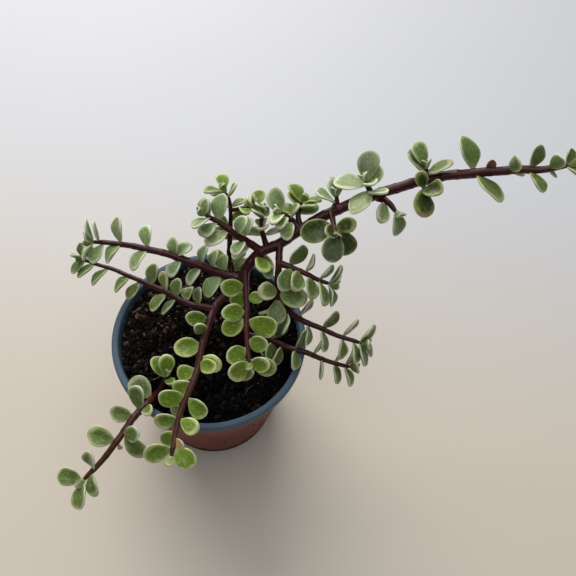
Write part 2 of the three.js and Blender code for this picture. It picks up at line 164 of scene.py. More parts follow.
BRANCHES = (
    Branch("main_stem", "soil", (
        Shoot(
            route=(
                (19, 2, 84), (19, 3, 104), (18, 9, 124), (17, 18, 141), (18, 25, 151),
                (25, 33, 158), (36, 39, 163), (46, 46, 168), (64, 57, 176), (83, 64, 184),
                (104, 71, 192), (119, 74, 197), (139, 76, 203), (156, 77, 207), (172, 78, 210),
                (186, 80, 214),
            ),
            girth=((0, 4), (60, 3.2), (75, 2.9), (150, 3), (205, 2.8), (240, 2.4), (266, 1.5)),
            pairs=(
                (78, 165, 17, 0, 80), (215, -62, 21, 0, 98, 5), (216, 118, 22, 0, 58, 1.2),
                (233, 20, 13, 14), (244, -70, 15, 15), (254, 20, 12, 12), (263, -70, 10, 10),
            ),
        ),
        Shoot(
            route=((84, 65, 184), (82, 66, 189), (78, 68, 194)),
            girth=((0, 2.1), (11, 1.4)),
            pairs=(
                (4, -125, 15, 0, 84), (5, 150, 19, 0, 84), (6, -35, 14, 0, 60), (7, -80, 12, 0, 66),
                (8, 88, 20, 0, 76), (10, 5, 18, 0, 70),
            ),
            upright=True,
            tone=Tone.SHEEN_GREY,
        ),
        Shoot(
            route=((64, 58, 176), (65, 61, 179), (64, 64, 183)),
            girth=((0, 2), (9, 1.4)),
            pairs=((4, 110, 16, 0, 70), (6, 60, 14, 0, 62), (8, 0, 12, 0, 40)),
            upright=True,
            tone=Tone.SHEEN_GREY,
        ),
        Shoot(
            route=((63, 56, 176), (64, 47, 179), (66, 38, 181)),
            girth=((0, 2), (19, 1.4)),
            pairs=(
                (18, 60, 12, 0, 50), (12, 110, 19, 0, 84), (14, 100, 0, 13, 85),
                (15, -120, 18, 0, 66), (17, 170, 18, 0, 60),
            ),
            tone=Tone.SHADED,
        ),
        Shoot(
            route=((88, 65, 184), (94, 60, 186), (99, 54, 186)),
            girth=((0, 2.1), (16, 1.5)),
            pairs=((5, 120, 14, 0, 66, 0.8), (14, 165, 15, 0, 56, 0.8)),
            tone=Tone.SHEEN_GREY,
        ),
        Shoot(
            route=((111, 73, 195), (111, 69, 195), (112, 65, 195)),
            girth=((0, 1.9), (8, 1.4)),
            pairs=((7, 30, 11, 0, 105), (6, 110, 19, 16, 32)),
            tone=Tone.SHADED,
        ),
        Shoot(
            route=((111, 73, 195), (112, 75, 198), (111, 77, 201)),
            girth=((0, 1.8), (7, 1.3)),
            pairs=((4, 60, 16, 16, 58), (7, 15, 15, 0, 40)),
            upright=True,
        ),
        Shoot(
            route=((46, 47, 168), (40, 50, 172), (33, 51, 176)),
            girth=((0, 2.4), (15, 1.4)),
            pairs=(
                (7, -90, 13, 0, 112), (8, 40, 11, 0, 80), (11, -90, 12, 0, 85),
                (13, -85, 12, 0, 58), (14, 85, 16, 0, 50), (15, 180, 12, 0, 20),
            ),
            tone=Tone.SHEEN_GREY,
        ),
        Shoot(
            route=((46, 49, 168), (44, 55, 172), (46, 61, 177)),
            girth=((0, 1.9), (14, 1.2)),
            pairs=((7, 100, 13, 14), (11, 20, 13, 12), (14, 95, 12, 13)),
            tone=Tone.SUNNY,
        ),
    )),
    Branch("back_left_branch", "main_stem", (
        Shoot(
            route=((26, 34, 159), (17, 36, 165), (11, 35, 171), (0, 38, 177), (-8, 39, 181)),
            girth=((0, 2.4), (25, 2), (40, 1.3)),
            pairs=(
                (7, 40, 0, 14), (13, 65, 13, 13), (19, 30, 12, 0), (24, 60, 0, 16),
                (32, 65, 16, 13), (37, 90, 12, 14), (40, 40, 10, 0),
            ),
            tone=Tone.SHEEN_GREY,
        ),
    )),
    Branch("back_upright_branch", "main_stem", (
        Shoot(
            route=(
                (18, 14, 135), (12, 24, 134), (7, 35, 141), (6, 44, 152), (5, 52, 163),
                (3, 59, 171), (0, 62, 175),
            ),
            girth=((0, 2.2), (30, 1.8), (66, 1.1)),
            pairs=(
                (14, 75, 12, 12), (20, 100, 13, 12), (26, 70, 12, 13), (33, 80, 12, 0),
                (40, 90, 11, 12), (48, 80, 0, 12), (52, 100, 11, 0), (60, 100, 10, 11),
                (66, 30, 12, 11), (70, 90, 11, 13),
            ),
            tone=Tone.SUNNY,
        ),
        Shoot(
            route=((4, 55, 166), (10, 55, 169), (17, 57, 171)),
            girth=((0, 1.2), (17, 0.9)),
            pairs=((8, 80, 10, 10), (12, 20, 10, 11), (15, 80, 11, 11), (16, 10, 9, 0)),
            tone=Tone.SUNNY,
        ),
    )),
    Branch("back_twig", "main_stem", (
        Shoot(
            route=((29, 36, 160), (26, 41, 165), (24, 46, 170), (25, 51, 175)),
            girth=((0, 1.9), (23, 1.1)),
            pairs=(
                (8, 100, 12, 11), (12, 20, 11, 12), (15, 85, 11, 12), (18, 20, 12, 0),
                (21, 100, 11, 10),
            ),
            upright=True,
        ),
    )),
    Branch("upper_left_branch", "main_stem", (
        Shoot(
            route=(
                (17, 21, 146), (5, 24, 144), (-7, 26, 147), (-23, 28, 150), (-41, 29, 153),
                (-56, 30, 153), (-74, 29, 152),
            ),
            girth=((0, 2.8), (60, 2.1), (95, 1.3)),
            pairs=(
                (13, 60, 12, 16), (20, 70, 12, 0), (26, 60, 13, 14), (38, 60, 0, 13),
                (42, 50, 12, 0, 55), (43, 35, 12, 0, 125), (59, 60, 14, 15), (75, 60, 16, 14),
                (85, 60, 0, 14), (88, 60, 13, 0, 70, 0.4), (91, 60, 14, 12, 60, 0.6),
                (92, 10, 9, 0),
            ),
            tone=Tone.SHEEN_GREY,
        ),
    )),
    Branch("front_branch", "main_stem", (
        Shoot(
            route=(
                (17, 19, 141), (11, 15, 139), (4, 7, 138), (1, -12, 137), (0, -34, 135),
                (-2, -47, 134), (-4, -56, 132), (-5, -67, 131), (-5, -77, 129), (-5, -82, 127),
            ),
            girth=((0, 2.7), (60, 2), (110, 1.5)),
            pairs=(
                (29, 80, 14, 0), (37, 25, 11, 0), (45, 95, 16, 0), (52, -80, 14, 0),
                (56, -55, 12, 0, 75), (59, 120, 14, 0), (67, 135, 13, 0), (76, 90, 15, 15),
                (81, 130, 14, 0), (88, 95, 13, 13), (95, 150, 12, 0), (104, 85, 15, 15),
            ),
            tone=Tone.SUNNY,
        ),
    )),
    Branch("lower_left_branch", "front_branch", (
        Shoot(
            route=(
                (3, 3, 138), (-4, 5, 136), (-13, 7, 134), (-22, 11, 132), (-42, 20, 128),
                (-61, 27, 125), (-86, 34, 122),
            ),
            girth=((0, 2.1), (50, 1.7), (100, 1.1)),
            pairs=(
                (10, 60, 11, 0), (18, 80, 12, 0), (26, 70, 12, 13), (34, 65, 14, 14),
                (45, 60, 14, 0), (54, 60, 0, 14), (62, 60, 0, 14), (78, 60, 0, 15),
                (88, 60, 13, 14), (93, 150, 13, 0), (95, 60, 12, 12), (96, 10, 10, 0),
            ),
        ),
    )),
    Branch("middle_branch", "main_stem", (
        Shoot(
            route=((18, 24, 151), (21, 10, 148), (24, -10, 145), (29, -30, 142)),
            girth=((0, 2.3), (20, 1.8), (56, 1.5)),
            pairs=(
                (9, 80, 15, 0), (11, 120, 14, 0), (16, -60, 10, 0), (25, 75, 15, 0),
                (29, 110, 16, 0), (30, -95, 18, 0), (42, -60, 13, 0), (46, 75, 15, 0),
                (51, 105, 16, 0), (53, -100, 16, 0, 60), (54, 165, 15, 0, 40), (55, -60, 13, 0),
            ),
            tone=Tone.SUNNY,
        ),
    )),
    Branch("right_drooping_branch", "main_stem", (
        Shoot(
            route=(
                (36, 39, 163), (37, 26, 160), (38, 17, 150), (41, 11, 142), (54, 6, 135),
                (67, 3, 133), (81, 0, 131), (93, -2, 130),
            ),
            girth=((0, 2.2), (50, 1.9), (96, 1.2)),
            pairs=(
                (28, 85, 15, 0, 85, 2), (30, -60, 18, 0, 75, 2), (33, 40, 16, 0, 50, 2),
                (38, 100, 15, 15), (44, -65, 0, 14), (51, -65, 14, 0), (58, -60, 0, 13),
                (67, -65, 14, 14), (80, -65, 14, 13), (87, -60, 0, 13), (91, -65, 14, 14),
                (93, 20, 9, 12),
            ),
            light=0.5,
            tone=Tone.DULL,
        ),
    )),
    Branch("right_side_twig", "right_drooping_branch", (
        Shoot(
            route=((37, 27, 160), (43, 26, 160), (51, 24, 159), (62, 21, 157), (69, 20, 156)),
            girth=((0, 2), (33, 1.2)),
            pairs=(
                (6, -70, 15, 0, 70, 1), (8, 100, 16, 0, 95, 2), (13, 105, 15, 0, 75, 2),
                (16, -65, 12, 0), (19, -50, 0, 15, 75, 1.2), (25, -65, 12, 15), (31, -60, 13, 13),
                (32, -20, 9, 0),
            ),
            light=0.5,
            tone=Tone.DULL,
        ),
    )),
    Branch("lower_right_branch", "main_stem", (
        Shoot(
            route=(
                (19, 4, 107), (27, 3, 110), (36, 2, 112), (48, -3, 113), (60, -5, 114),
                (70, -7, 113), (83, -9, 111), (90, -9, 110),
            ),
            girth=((0, 2.4), (40, 1.9), (74, 1.2)),
            pairs=(
                (12, -60, 0, 13), (21, -70, 14, 14), (28, -60, 0, 14), (37, -60, 14, 14),
                (48, -65, 14, 0), (54, -60, 0, 13), (62, -60, 12, 13), (69, -65, 13, 13),
                (72, 20, 10, 12),
            ),
            light=0.5,
            tone=Tone.DULL,
        ),
    )),
    Branch("low_front_branch", "soil", (
        Shoot(
            route=(
                (-20, -28, 90), (-23, -36, 99), (-25, -43, 107), (-26, -49, 114), (-31, -60, 119),
                (-36, -73, 119), (-43, -85, 116), (-51, -97, 113),
            ),
            girth=((0, 2.6), (30, 2.4), (89, 1.5)),
            pairs=(
                (29, 60, 17, 0, 105), (35, -60, 10, 0, 38), (42, 0, 16, 0, 100),
                (46, 95, 14, 0, 75), (55, 75, 0, 18), (57, -65, 13, 0, 120), (62, 90, 17, 0),
                (80, 30, 14, 0, 110), (83, 100, 0, 13), (88, 80, 14, 15),
            ),
        ),
        Shoot(
            route=((-24, -41, 104), (-22, -36, 109), (-20, -31, 113)),
            girth=((0, 1.6), (14, 1.1)),
            pairs=((10, 70, 8, 0, 65), (12, -90, 14, 0, 50), (13, 60, 14, 0, 15)),
            tone=Tone.SUNNY,
        ),
    )),
)


# ---------------------------------------------------------------- lines, skins and leaves


@dataclass(frozen=True)
class Frames:
    """Points on a line, each with the line's direction and a top and a side across it."""

    centre: Array
    along: Array
    top: Array
    side: Array


def unit(vectors: Array) -> Array:
    """Returns the vectors at a length of 1."""
    return vectors / np.linalg.norm(vectors, axis=-1, keepdims=True)


def off_plane(vector: Array, normals: Array) -> Array:
    """Returns what is left of a vector once its part along each normal is taken out."""
    return vector - normals * (normals @ vector)[..., None]


class CentreLine:
    """A smooth curve through given points that is measured by its own length."""

    STEPS_PER_POINT = 40
    TANGENT_STEP = 0.0001

    def __init__(self, route: Iterable[Iterable[float]], reference: Array = UP) -> None:
        """Fits the curve.

        Args:
            route: the points that it goes through.
            reference: the direction that the top of each frame leans to.
        """
        points = np.array(route, float)
        ends = 2 * points[[0, -1]] - points[[1, -2]]
        guides = np.vstack([ends[:1], points, ends[1:]])
        gaps = np.sqrt(np.linalg.norm(np.diff(guides, axis=0), axis=1))[:, None]
        before, here, after = gaps[:-2], gaps[1:-1], gaps[2:]
        first, start, end, last = guides[:-3], guides[1:-2], guides[2:-1], guides[3:]
        step = (end - start) / here
        leave = ((start - first) / before - (end - first) / (before + here) + step) * here
        reach = (step - (last - start) / (here + after) + (last - end) / after) * here
        bend = 3 * (end - start) - 2 * leave - reach
        twist = 2 * (start - end) + leave + reach
        self.terms = np.stack([start, leave, bend, twist])
        self.reference = reference
        self.shares = np.linspace(0, 1, self.STEPS_PER_POINT * len(points) + 1)
        steps = np.linalg.norm(np.diff(self.at(self.shares), axis=0), axis=1)
        self.reached = np.concatenate([[0], np.cumsum(steps)])
        self.length = float(self.reached[-1])

    def at(self, share: Array) -> Array:
        """Finds points of the curve.

        Args:
            share: shares of the curve's parameter, from 0 to 1.

        Returns:
            The point at each share.
        """
        spans = self.terms.shape[1]
        place = np.clip(share, 0, 1) * spans
        span = np.minimum(place.astype(int), spans - 1)
        local = (place - span)[:, None]
        start, leave, bend, twist = self.terms[:, span]
        return start + local * (leave + local * (bend + local * twist))

    def frames(self, distance: Array) -> Frames:
        """Finds points of the curve by their distance along it.

        Args:
            distance: the distances.

        Returns:
            The frame at each distance.
        """
        reached = np.clip(np.atleast_1d(distance), 0, self.length)
        share = np.interp(reached, self.reached, self.shares)
        low = np.clip(share - self.TANGENT_STEP, 0, 1)
        high = np.clip(share + self.TANGENT_STEP, 0, 1)
        along = unit(self.at(high) - self.at(low))
        top = unit(off_plane(self.reference, along))
        return Frames(self.at(share), along, top, np.cross(along, top))


class Skin:
    """Collects closed shapes into one mesh, with numbers for the shader at every point.

    Each shape is a pole, rows of rings and a pole, in that order.
    """

    def __init__(self, columns: int, is_smooth: bool = True) -> None:
        """Starts an empty mesh.

        Args:
            columns: points in each ring.
            is_smooth: whether light runs over its faces without a break.
        """
        self.columns = columns
        self.is_smooth = is_smooth
        self.angles = math.tau * np.arange(columns) / columns
        self.points: list[Array] = []
        self.count = 0
        self.faces: list[tuple[int, ...]] = []
        self.layers: dict[str, list[Array]] = {}

    def around(self, rows: int) -> Array:
        """Returns the angle of every point of a shape with this many rings."""
        return np.concatenate([[0], np.tile(self.angles, rows), [0]])

    def down(self, first: float, rings: Array, last: float) -> Array:
        """Spreads one value a ring over every point of a shape.

        Args:
            first: value at the first pole.
            rings: value or vector at each ring.
            last: value at the last pole.

        Returns:
            The value at every point.
        """
        return np.concatenate([[first], np.repeat(rings, self.columns, axis=0), [last]])

    def add(self, points: Array, **layers: Array | float | tuple[float, ...]) -> None:
        """Adds a closed shape.

        Args:
            points: its points, in millimetres.
            layers: named numbers or vectors, one for each point or one for all.
        """
        offset = self.count
        columns, rows = self.columns, (len(points) - 2) // self.columns
        ring = np.arange(columns)
        following = (ring + 1) % columns
        first = offset + 1
        last = offset + len(points) - 1
        final = last - columns
        for here, beyond in zip(ring.tolist(), following.tolist()):
            self.faces.append((offset, first + beyond, first + here))
            self.faces.append((last, final + here, final + beyond))
        for row in range(rows - 1):
            low = first + row * columns
            high = low + columns
            quads = np.stack([low + ring, low + following, high + following, high + ring], 1)
            self.faces.extend(map(tuple, quads.tolist()))
        self.points.append(points)
        self.count += len(points)
        for name, values in layers.items():
            spread = np.array(values, float)
            if spread.shape[:1] != (len(points),):
                spread = np.broadcast_to(spread, (len(points), *spread.shape))
            self.layers.setdefault(name, []).append(spread)

    def piece(self, name: str, material: bpy.types.Material) -> bpy.types.Object:
        """Makes the object.

        Args:
            name: its name.
            material: its finish.

        Returns:
            The new object, linked to the scene.
        """
        mesh = bpy.data.meshes.new(name)
        mesh.from_pydata((np.vstack(self.points) * MM).tolist(), [], self.faces)
        if self.is_smooth:
            mesh.shade_smooth()
        for layer, parts in self.layers.items():
            values = np.concatenate(parts)
            is_vector = values.ndim > 1
            kind, key = ("FLOAT_VECTOR", "vector") if is_vector else ("FLOAT", "value")
            attribute = mesh.attributes.new(layer, kind, "POINT")
            attribute.data.foreach_set(key, values.astype(np.float32).ravel())
        mesh.materials.append(material)
        made = bpy.data.objects.new(name, mesh)
        bpy.context.scene.collection.objects.link(made)
        return made


def keep(piece: bpy.types.Object, slot: str, *nodes: str) -> None:
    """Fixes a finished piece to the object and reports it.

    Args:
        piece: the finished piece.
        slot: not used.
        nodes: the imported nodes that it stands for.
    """
    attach(piece, "root")
    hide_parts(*nodes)
    logging.info("%s: %d faces, for %s", piece.name, len(piece.data.polygons), ", ".join(nodes))


@dataclass(frozen=True)
class LeafForm:
    """Sizes that all leaves share. Angles are in degrees, shares are of the leaf's length."""

    width: float = 0.7
    half_thickness: float = 0.95
    cup: float = 0.07
    bow: float = 0.1
    base_pitch: float = 80
    tip_pitch: float = 58
    lift: float = 0.25
    pitch_scatter: float = 7
    roll_scatter: float = 9
    twist_scatter: float = 16
    sample_rows: tuple[float, ...] = (0.35, 0.55, 0.75, 0.92)
    sample_width: float = 0.85
    least_share: float = 0.1


LEAF = LeafForm()


class Leaf:
    """One thick, spoon-shaped leaf, by where its root is and how its blade lies."""

    def __init__(self, root: Array, direction: Array, face: Array, length: float) -> None:
        """Places the leaf.

        Args:
            root: where it grows, inside the stem.
            direction: from its root to its tip.
            face: the way its upper side looks.
            length: from root to tip.
        """
        self.root = root
        self.direction = direction
        self.face = face
        self.side = np.cross(direction, face)
        self.length = length
        self.half_width = length * LEAF.width / 2

    def rise(
        self, share: Array, across: Array, cup: float = LEAF.cup, bow: float = LEAF.bow
    ) -> Array:
        """Returns how far the blade's middle layer lies above its flat, which cup and bow bend."""
        return self.length * (cup * across**2 * share - bow * share**2)

    def at(self, share: Array, across: Array, height: Array) -> Array:
        """Returns points of the leaf.

        Args:
            share: share of the way from root to tip.
            across: share of the half width to the side.
            height: height above the leaf's flat.

        Returns:
            The points.
        """
        forward = np.multiply.outer(share * self.length, self.direction)
        aside = np.multiply.outer(across * self.half_width, self.side)
        return self.root + forward + aside + np.multiply.outer(height, self.face)

    def samples(self) -> Array:
        """Spreads points over the blade, for the clearance test.

        Returns:
            The points, with the leaf's tip as the last.
        """
        width = LEAF.sample_width
        grid = [(share, across) for share in LEAF.sample_rows for across in (-width, 0, width)]
        share, across = np.array([*grid, (1, 0)], float).T
        return self.at(share, across, self.rise(share, across))

    def is_near(self, points: Array, margin: float | Array) -> bool:
        """Says whether any of the points is close to the blade.

        Args:
            points: the points.
            margin: how close, for all points or for each.

        Returns:
            Whether one of them is within its margin.
        """
        offset = points - self.root
        along = offset @ self.direction
        across = offset @ self.side
        share = along / self.length
        rise = self.rise(share, across / self.half_width)
        beside = (share >= LEAF.least_share) & (along <= self.length + margin)
        beside &= np.abs(across) <= self.half_width + margin
        level = np.abs(offset @ self.face - rise) < LEAF.half_thickness + margin
        return bool(np.any(beside & level))

    def is_apart(self, other: Leaf, margin: float) -> bool:
        """Says whether this leaf and another keep a margin between their blades.

        Args:
            other: the other leaf.
            margin: the margin.

        Returns:
            Whether they keep it.
        """
        if np.linalg.norm(other.root - self.root) > other.length + self.length + margin:
            return True
        return not (other.is_near(self.samples(), margin) or self.is_near(other.samples(), margin))


@dataclass(frozen=True)
class LeafShape:
    """How a leaf's blade is drawn in detail. One rng gives each leaf its own small differences."""

    rows: int = 18
    columns: int = 24
    stalk: float = 0.17
    stalk_share: float = 0.8
    base_fullness: Span = (0.58, 0.9)
    tip_fullness: Span = (0.4, 0.64)
    thickness: float = 1.25
    upper: float = 0.72
    lower: float = 1.3
    roundness: float = 0.8
    crease: float = 0.16
    crease_width: float = 0.25
    cup: Span = (0.02, 0.09)
    fold: Span = (0, 0.13)
    wave: float = 0.022
    wave_pace: float = 7
    fold_softness: float = 0.16
    bow: Span = (0.05, 0.26)
    sway: float = 0.07
    lopside: float = 0.1
    shade_scatter: float = 0.26
    hue_scatter: float = 0.06
    tip_zone: float = 0.6
    full_length: float = 9
    rim_softness: float = 0.5

    def draw(self, skin: Skin, leaf: Leaf, tone: Tone | BudTone, stem: float, number: int) -> None:
        """Adds a leaf to a skin.

        Args:
            skin: the mesh to add it to.
            leaf: its place and size.
            tone: its colours.
            stem: radius of the stem that it grows on.
            number: the leaf's own number, which seeds its differences.
        """
        rng = np.random.default_rng(number)
        start = rng.uniform(*self.base_fullness)
        end = rng.uniform(*self.tip_fullness)
        cup, bow = rng.uniform(*self.cup), rng.uniform(*self.bow)
        sway, lopside = self.sway * rng.uniform(-1, 1), self.lopside * rng.uniform(-1, 1)
        share = skin.down(0, np.sin(0.5 * math.pi * np.arange(self.rows) / self.rows), 1)
        angle = skin.around(self.rows)
        width = self.outline(share, self.stalk_share * stem / leaf.length, start, end)
        width[[0, -1]] = 0
        across = np.cos(angle) * width * (1 + lopside * np.cos(angle))
        edge = -np.sin(angle)
        thickness = self.thickness * LEAF.half_thickness * np.sqrt(width)
        thickness *= min(1, leaf.length / self.full_length)
        height = np.sign(edge) * np.abs(edge) ** self.roundness * thickness
        height *= np.where(edge > 0, self.upper, self.lower)
        height -= self.crease * np.exp(-((across / self.crease_width) ** 2)) * width * (edge > 0)
        height += leaf.rise(share, across, cup, bow)
        wing = leaf.length * np.sin(math.pi * share) * np.hypot(across, self.fold_softness)
        ripple = np.sin(self.wave_pace * share + angle + rng.uniform(0, math.tau))
        height += wing * (rng.uniform(*self.fold) + self.wave * ripple)
        points = leaf.at(share, across + sway * share**2, height)
        tip = np.clip((share - self.tip_zone) / (1 - self.tip_zone), 0, 1)
        inner = (1 - np.cos(angle) ** 2) * (1 - tip**2)
        tint = 1 + self.shade_scatter * rng.uniform(-1, 1)
        tint = tint + self.hue_scatter * rng.uniform(-1, 1, 3)
        middle, margin = (np.array(colour[:3]) * tint for colour in tone.value)
        place = across * leaf.half_width, share * leaf.length, np.full(len(share), number)
        skin.add(
            points,
            leaf_middle=tuple(middle),
            leaf_margin=tuple(margin),
            leaf_inner=inner,
            leaf_share=share,
            leaf_upper=np.clip(0.5 + edge / self.rim_softness, 0, 1),
            leaf_blade=np.stack(place, 1),
            leaf_luck=rng.uniform(0, 1),
        )

    def outline(self, share: Array, sunk: float, start: float, end: float) -> Array:
        """Returns the share of the full width along a leaf.

        Args:
            share: share of the way from root to tip.
            sunk: share of the leaf that is sunk in its stem.
            start: how slowly the leaf widens from its root.
            end: how slowly it closes at its tip.

        Returns:
            The width at each share, at most about 1.
        """
        place = np.clip((share - sunk) / (1 - sunk), 0, 1)
        widest = start / (start + end)
        full = widest**start * (1 - widest) ** end
        blade = place**start * (1 - place) ** end / full
        return np.hypot(blade, self.stalk * (1 - place))


@dataclass(frozen=True)
class StemShape:
    """How a stem is drawn in detail: knots with two leaf scars each, and a rounded end."""

    trunk_fullness: float = 1.1
    trunk_thinning: float = 0.13
    twig_fullness: float = 0.94
    step: float = 0.8
    columns: int = 18
    root_depth: float = 0.5
    knot_gap: float = 8.5
    least_gap: float = 3.5
    knot_width: float = 1.2
    knot_height: float = 0.07
    neck_depth: float = 0.03
    neck_place: float = 2.1
    scar_height: float = 0.06
    scar_place: float = 0.7
    scar_width: float = 0.55
    scar_sharpness: int = 6
    ring_width: float = 0.45
    collar_height: float = 0.35
    collar_reach: float = 2.4
    facets: int = 3
    facet: float = 0.02
    sway: float = 0.22
    sway_pace: float = 0.33
    young_radius: float = 1.1
    old_radius: float = 3.2
    end_taper: float = 0.4
    end_reach: float = 7
    dome: tuple[float, ...] = (0, 28, 52, 72)
    green_reach: float = 26

    def knots(self, limb: Limb) -> list[Span]:
        """Spaces the knots: one at each pair of leaves, and more along bare stretches.

        Args:
            limb: the stem.

        Returns:
            The distance of each knot and the roll of its first scar.
        """
        found: list[Span] = []
        reached, rolled = 0.0, 0.0
        marks = sorted((pair.distance, pair.roll) for pair in limb.pairs)
        for distance, roll in [*marks, (limb.line.length, 0.0)]:
            gap = distance - reached
            if gap < self.least_gap:
                continue
            parts = max(1, round(gap / self.knot_gap))
            for part in range(1, parts):
                found.append((reached + gap * part / parts, rolled + QUARTER_TURN * part))
            if distance < limb.line.length - self.least_gap:
                found.append((distance, roll))
            reached, rolled = distance, roll
        return found

    def swell(
        self, limb: Limb, place: Array, turn: Array, phase: float
    ) -> tuple[Array, Array, Array]:
        """Shapes the knots: each has a swelling, a neck after it, two scars and a ring.

        Args:
            limb: the stem.
            place: distances along the stem, as a column.
            turn: angles round it, as a row.
            phase: where its soft facets start.

        Returns:
            For every point its share of the stem's radius, and its shares of scar and of ring.
        """
        swelling = 1 + self.facet * np.sin(self.facets * turn + phase + place / self.knot_gap)
        scar, ring = np.zeros_like(swelling), np.zeros_like(swelling)
        for distance, roll in self.knots(limb):
            knot = np.exp(-(((place - distance) / self.knot_width) ** 2))
            neck = np.exp(-(((place - distance - self.neck_place) / self.knot_width) ** 2))
            across = np.abs(np.cos(turn - math.radians(roll))) ** self.scar_sharpness
            lip = across * np.exp(-(((place - distance - self.scar_place) / self.scar_width) ** 2))
            swelling += self.knot_height * knot - self.neck_depth * neck + self.scar_height * lip
            scar = np.maximum(scar, lip)
            ring = np.maximum(ring, np.exp(-(((place - distance) / self.ring_width) ** 2)))
        return swelling, scar, ring

    def draw(self, skin: Skin, limb: Limb, number: int, greening: float, is_rooted: bool) -> None:
        """Adds a stem to a skin.

        Args:
            skin: the mesh to add it to.
            limb: the stem.
            number: the stem's own number, which seeds its differences.
            greening: how green it grows towards its tip, from 0 to 1.
            is_rooted: whether it grows out of the soil, and so has no collar at its root.
        """
        rng = np.random.default_rng(number)
        length = limb.line.length
        dome = np.radians(self.dome)
        is_trunk = limb.radius(0) > self.old_radius
        fullness = self.trunk_fullness if is_trunk else self.twig_fullness
        thinning = self.trunk_thinning if is_trunk else 0
        blunt = (fullness - thinning) * float(limb.radius(length)) * (1 - self.end_taper)
        down = np.concatenate([np.arange(0, length, self.step), np.full(len(dome), length)])
        past = np.concatenate([np.zeros(len(down) - len(dome)), blunt * np.sin(dome)])
        near_end = np.clip(1 - (length - down) / self.end_reach, 0, 1)
        radius = (fullness - thinning * down / length) * limb.radius(down)
        radius *= 1 - self.end_taper * near_end**2
        radius[-len(dome):] *= np.cos(dome)
        frames = limb.line.frames(down)
        wander = self.sway * np.minimum(1, down / self.knot_gap)
        phase = rng.uniform(0, math.tau, 3)
        centre = frames.centre + frames.along * past[:, None]
        centre += frames.top * (wander * np.sin(down * self.sway_pace + phase[0]))[:, None]
        centre += frames.side * (wander * np.cos(down * self.sway_pace / 2 + phase[1]))[:, None]
        turn = skin.angles[None, :]
        place = down[:, None]
        swelling, scar, ring = self.swell(limb, place, turn, phase[2])
        if not is_rooted:
            swelling += self.collar_height * np.exp(-place / self.collar_reach)
        rise, aside = np.cos(turn)[..., None], np.sin(turn)[..., None]
        out = frames.top[:, None] * rise + frames.side[:, None] * aside
        rings = centre[:, None] + out * (radius[:, None] * swelling)[..., None]
        first = centre[0] - frames.along[0] * radius[0] * self.root_depth
        last = frames.centre[-1] + frames.along[-1] * blunt
        age = (limb.radius(down) - self.young_radius) / (self.old_radius - self.young_radius)
        spin = skin.around(len(down))
        girth = skin.down(radius[0], limb.radius(down), blunt)
        distance = skin.down(0, down, length)
        grain = girth * np.cos(spin), girth * np.sin(spin), distance + length * number
        skin.add(
            np.vstack([first, rings.reshape(-1, 3), last]),
            bark_age=np.clip(skin.down(age[0], age, age[-1]), 0, 1),
            bark_tip=greening * np.exp((distance - length) / self.green_reach),
            bark_scar=np.concatenate([[0], scar.ravel(), [0]]),
            bark_ring=np.concatenate([[0], ring.ravel(), [0]]),
            bark_grain=np.stack(grain, 1),
        )


# ---------------------------------------------------------------- the plant


@dataclass(frozen=True)
class Clearance:
    """How far a leaf keeps from what is round it, and the turns that it tries to get there."""

    leaf: float = 1.1
    neighbour: float = 0.5
    stem: float = 0.6
    pot: float = 1.2
    spine_step: float = 2.5
    turns: tuple[Span, ...] = (
        (0, 0), (0, -14), (0, 14), (16, 0), (-16, 0), (16, -14), (-16, -14), (30, 0), (-30, 0),
        (30, -16), (-30, -16), (45, 0), (-45, 0), (45, -20), (-45, -20), (60, -10), (-60, -10),
        (75, 0), (-75, 0), (90, 10), (-90, 10), (110, 0), (-110, 0), (130, -15), (-130, -15),
    )


CLEARANCE = Clearance()


SCATTER_PACE = 12.9898
SCATTER_START = 4.1
SCATTER_SIZE = 43758.5453
PITCH_SEED = 0.5
TWIST_SEED = 0.25
LEAVES_PER_BRANCH = 100
LEAVES_PER_TWIG = 20
STEMS_PER_BRANCH = 10


def scatter(number: float) -> float:
    """Returns a fixed scatter between -1 and 1 for a number."""
    wave = math.sin(number * SCATTER_PACE + SCATTER_START) * SCATTER_SIZE
    return 2 * (wave - math.floor(wave)) - 1


class Limb:
    """A shoot on its centre line, with its pairs of leaves."""

    def __init__(self, shoot: Shoot) -> None:
        """Lays the shoot on its line.

        Args:
            shoot: its layout.
        """
        self.shoot = shoot
        self.pairs = [Pair(*row) for row in shoot.pairs]
        self.line = CentreLine(shoot.route, BACK if shoot.upright else UP)

    def radius(self, distance: Array | float) -> Array:
        """Returns the stem's radius at a distance along it."""
        return np.interp(distance, *zip(*self.shoot.girth))

    def spine(self) -> tuple[Array, Array]:
        """Spaces points down the middle of the stem, for the clearance test.

        Returns:
            The points, and the stem's radius at each.
        """
        count = math.ceil(self.line.length / CLEARANCE.spine_step)
        distance = np.arange(count + 1) * self.line.length / count
        return self.line.frames(distance).centre, self.radius(distance)

    def leaf(
        self,
        distance: float,
        length: float,
        roll: float,
        pitch: float,
        light: float,
        twist: float = 0,
    ) -> Leaf:
        """Grows a leaf.

        Args:
            distance: where it grows along the stem.
            length: its length.
            roll: its turn round the stem from the top.
            pitch: its lean from the stem.
            light: how far its face turns up to the light.
            twist: its turn on its own axis.

        Returns:
            The leaf.
        """
        frames = self.line.frames(distance)
        along = frames.along[0]
        turn, lean, spin = (math.radians(angle) for angle in (roll, pitch, twist))
        out = frames.top[0] * math.cos(turn) + frames.side[0] * math.sin(turn)
        direction = unit(along * math.cos(lean) + out * math.sin(lean) + UP * LEAF.lift)
        face = unit(off_plane(along + UP * light, direction))
        face = face * math.cos(spin) + np.cross(direction, face) * math.sin(spin)
        return Leaf(frames.centre[0], direction, face, length)


class BudTone(Enum):
    """How buds and scraps are coloured: the middle, then the margin."""

    DRY = (shade(196, 158, 112), shade(222, 190, 142))
    BLUSH = (shade(176, 128, 104), shade(200, 160, 132))
    OLIVE = (shade(134, 92, 66), shade(156, 100, 86))


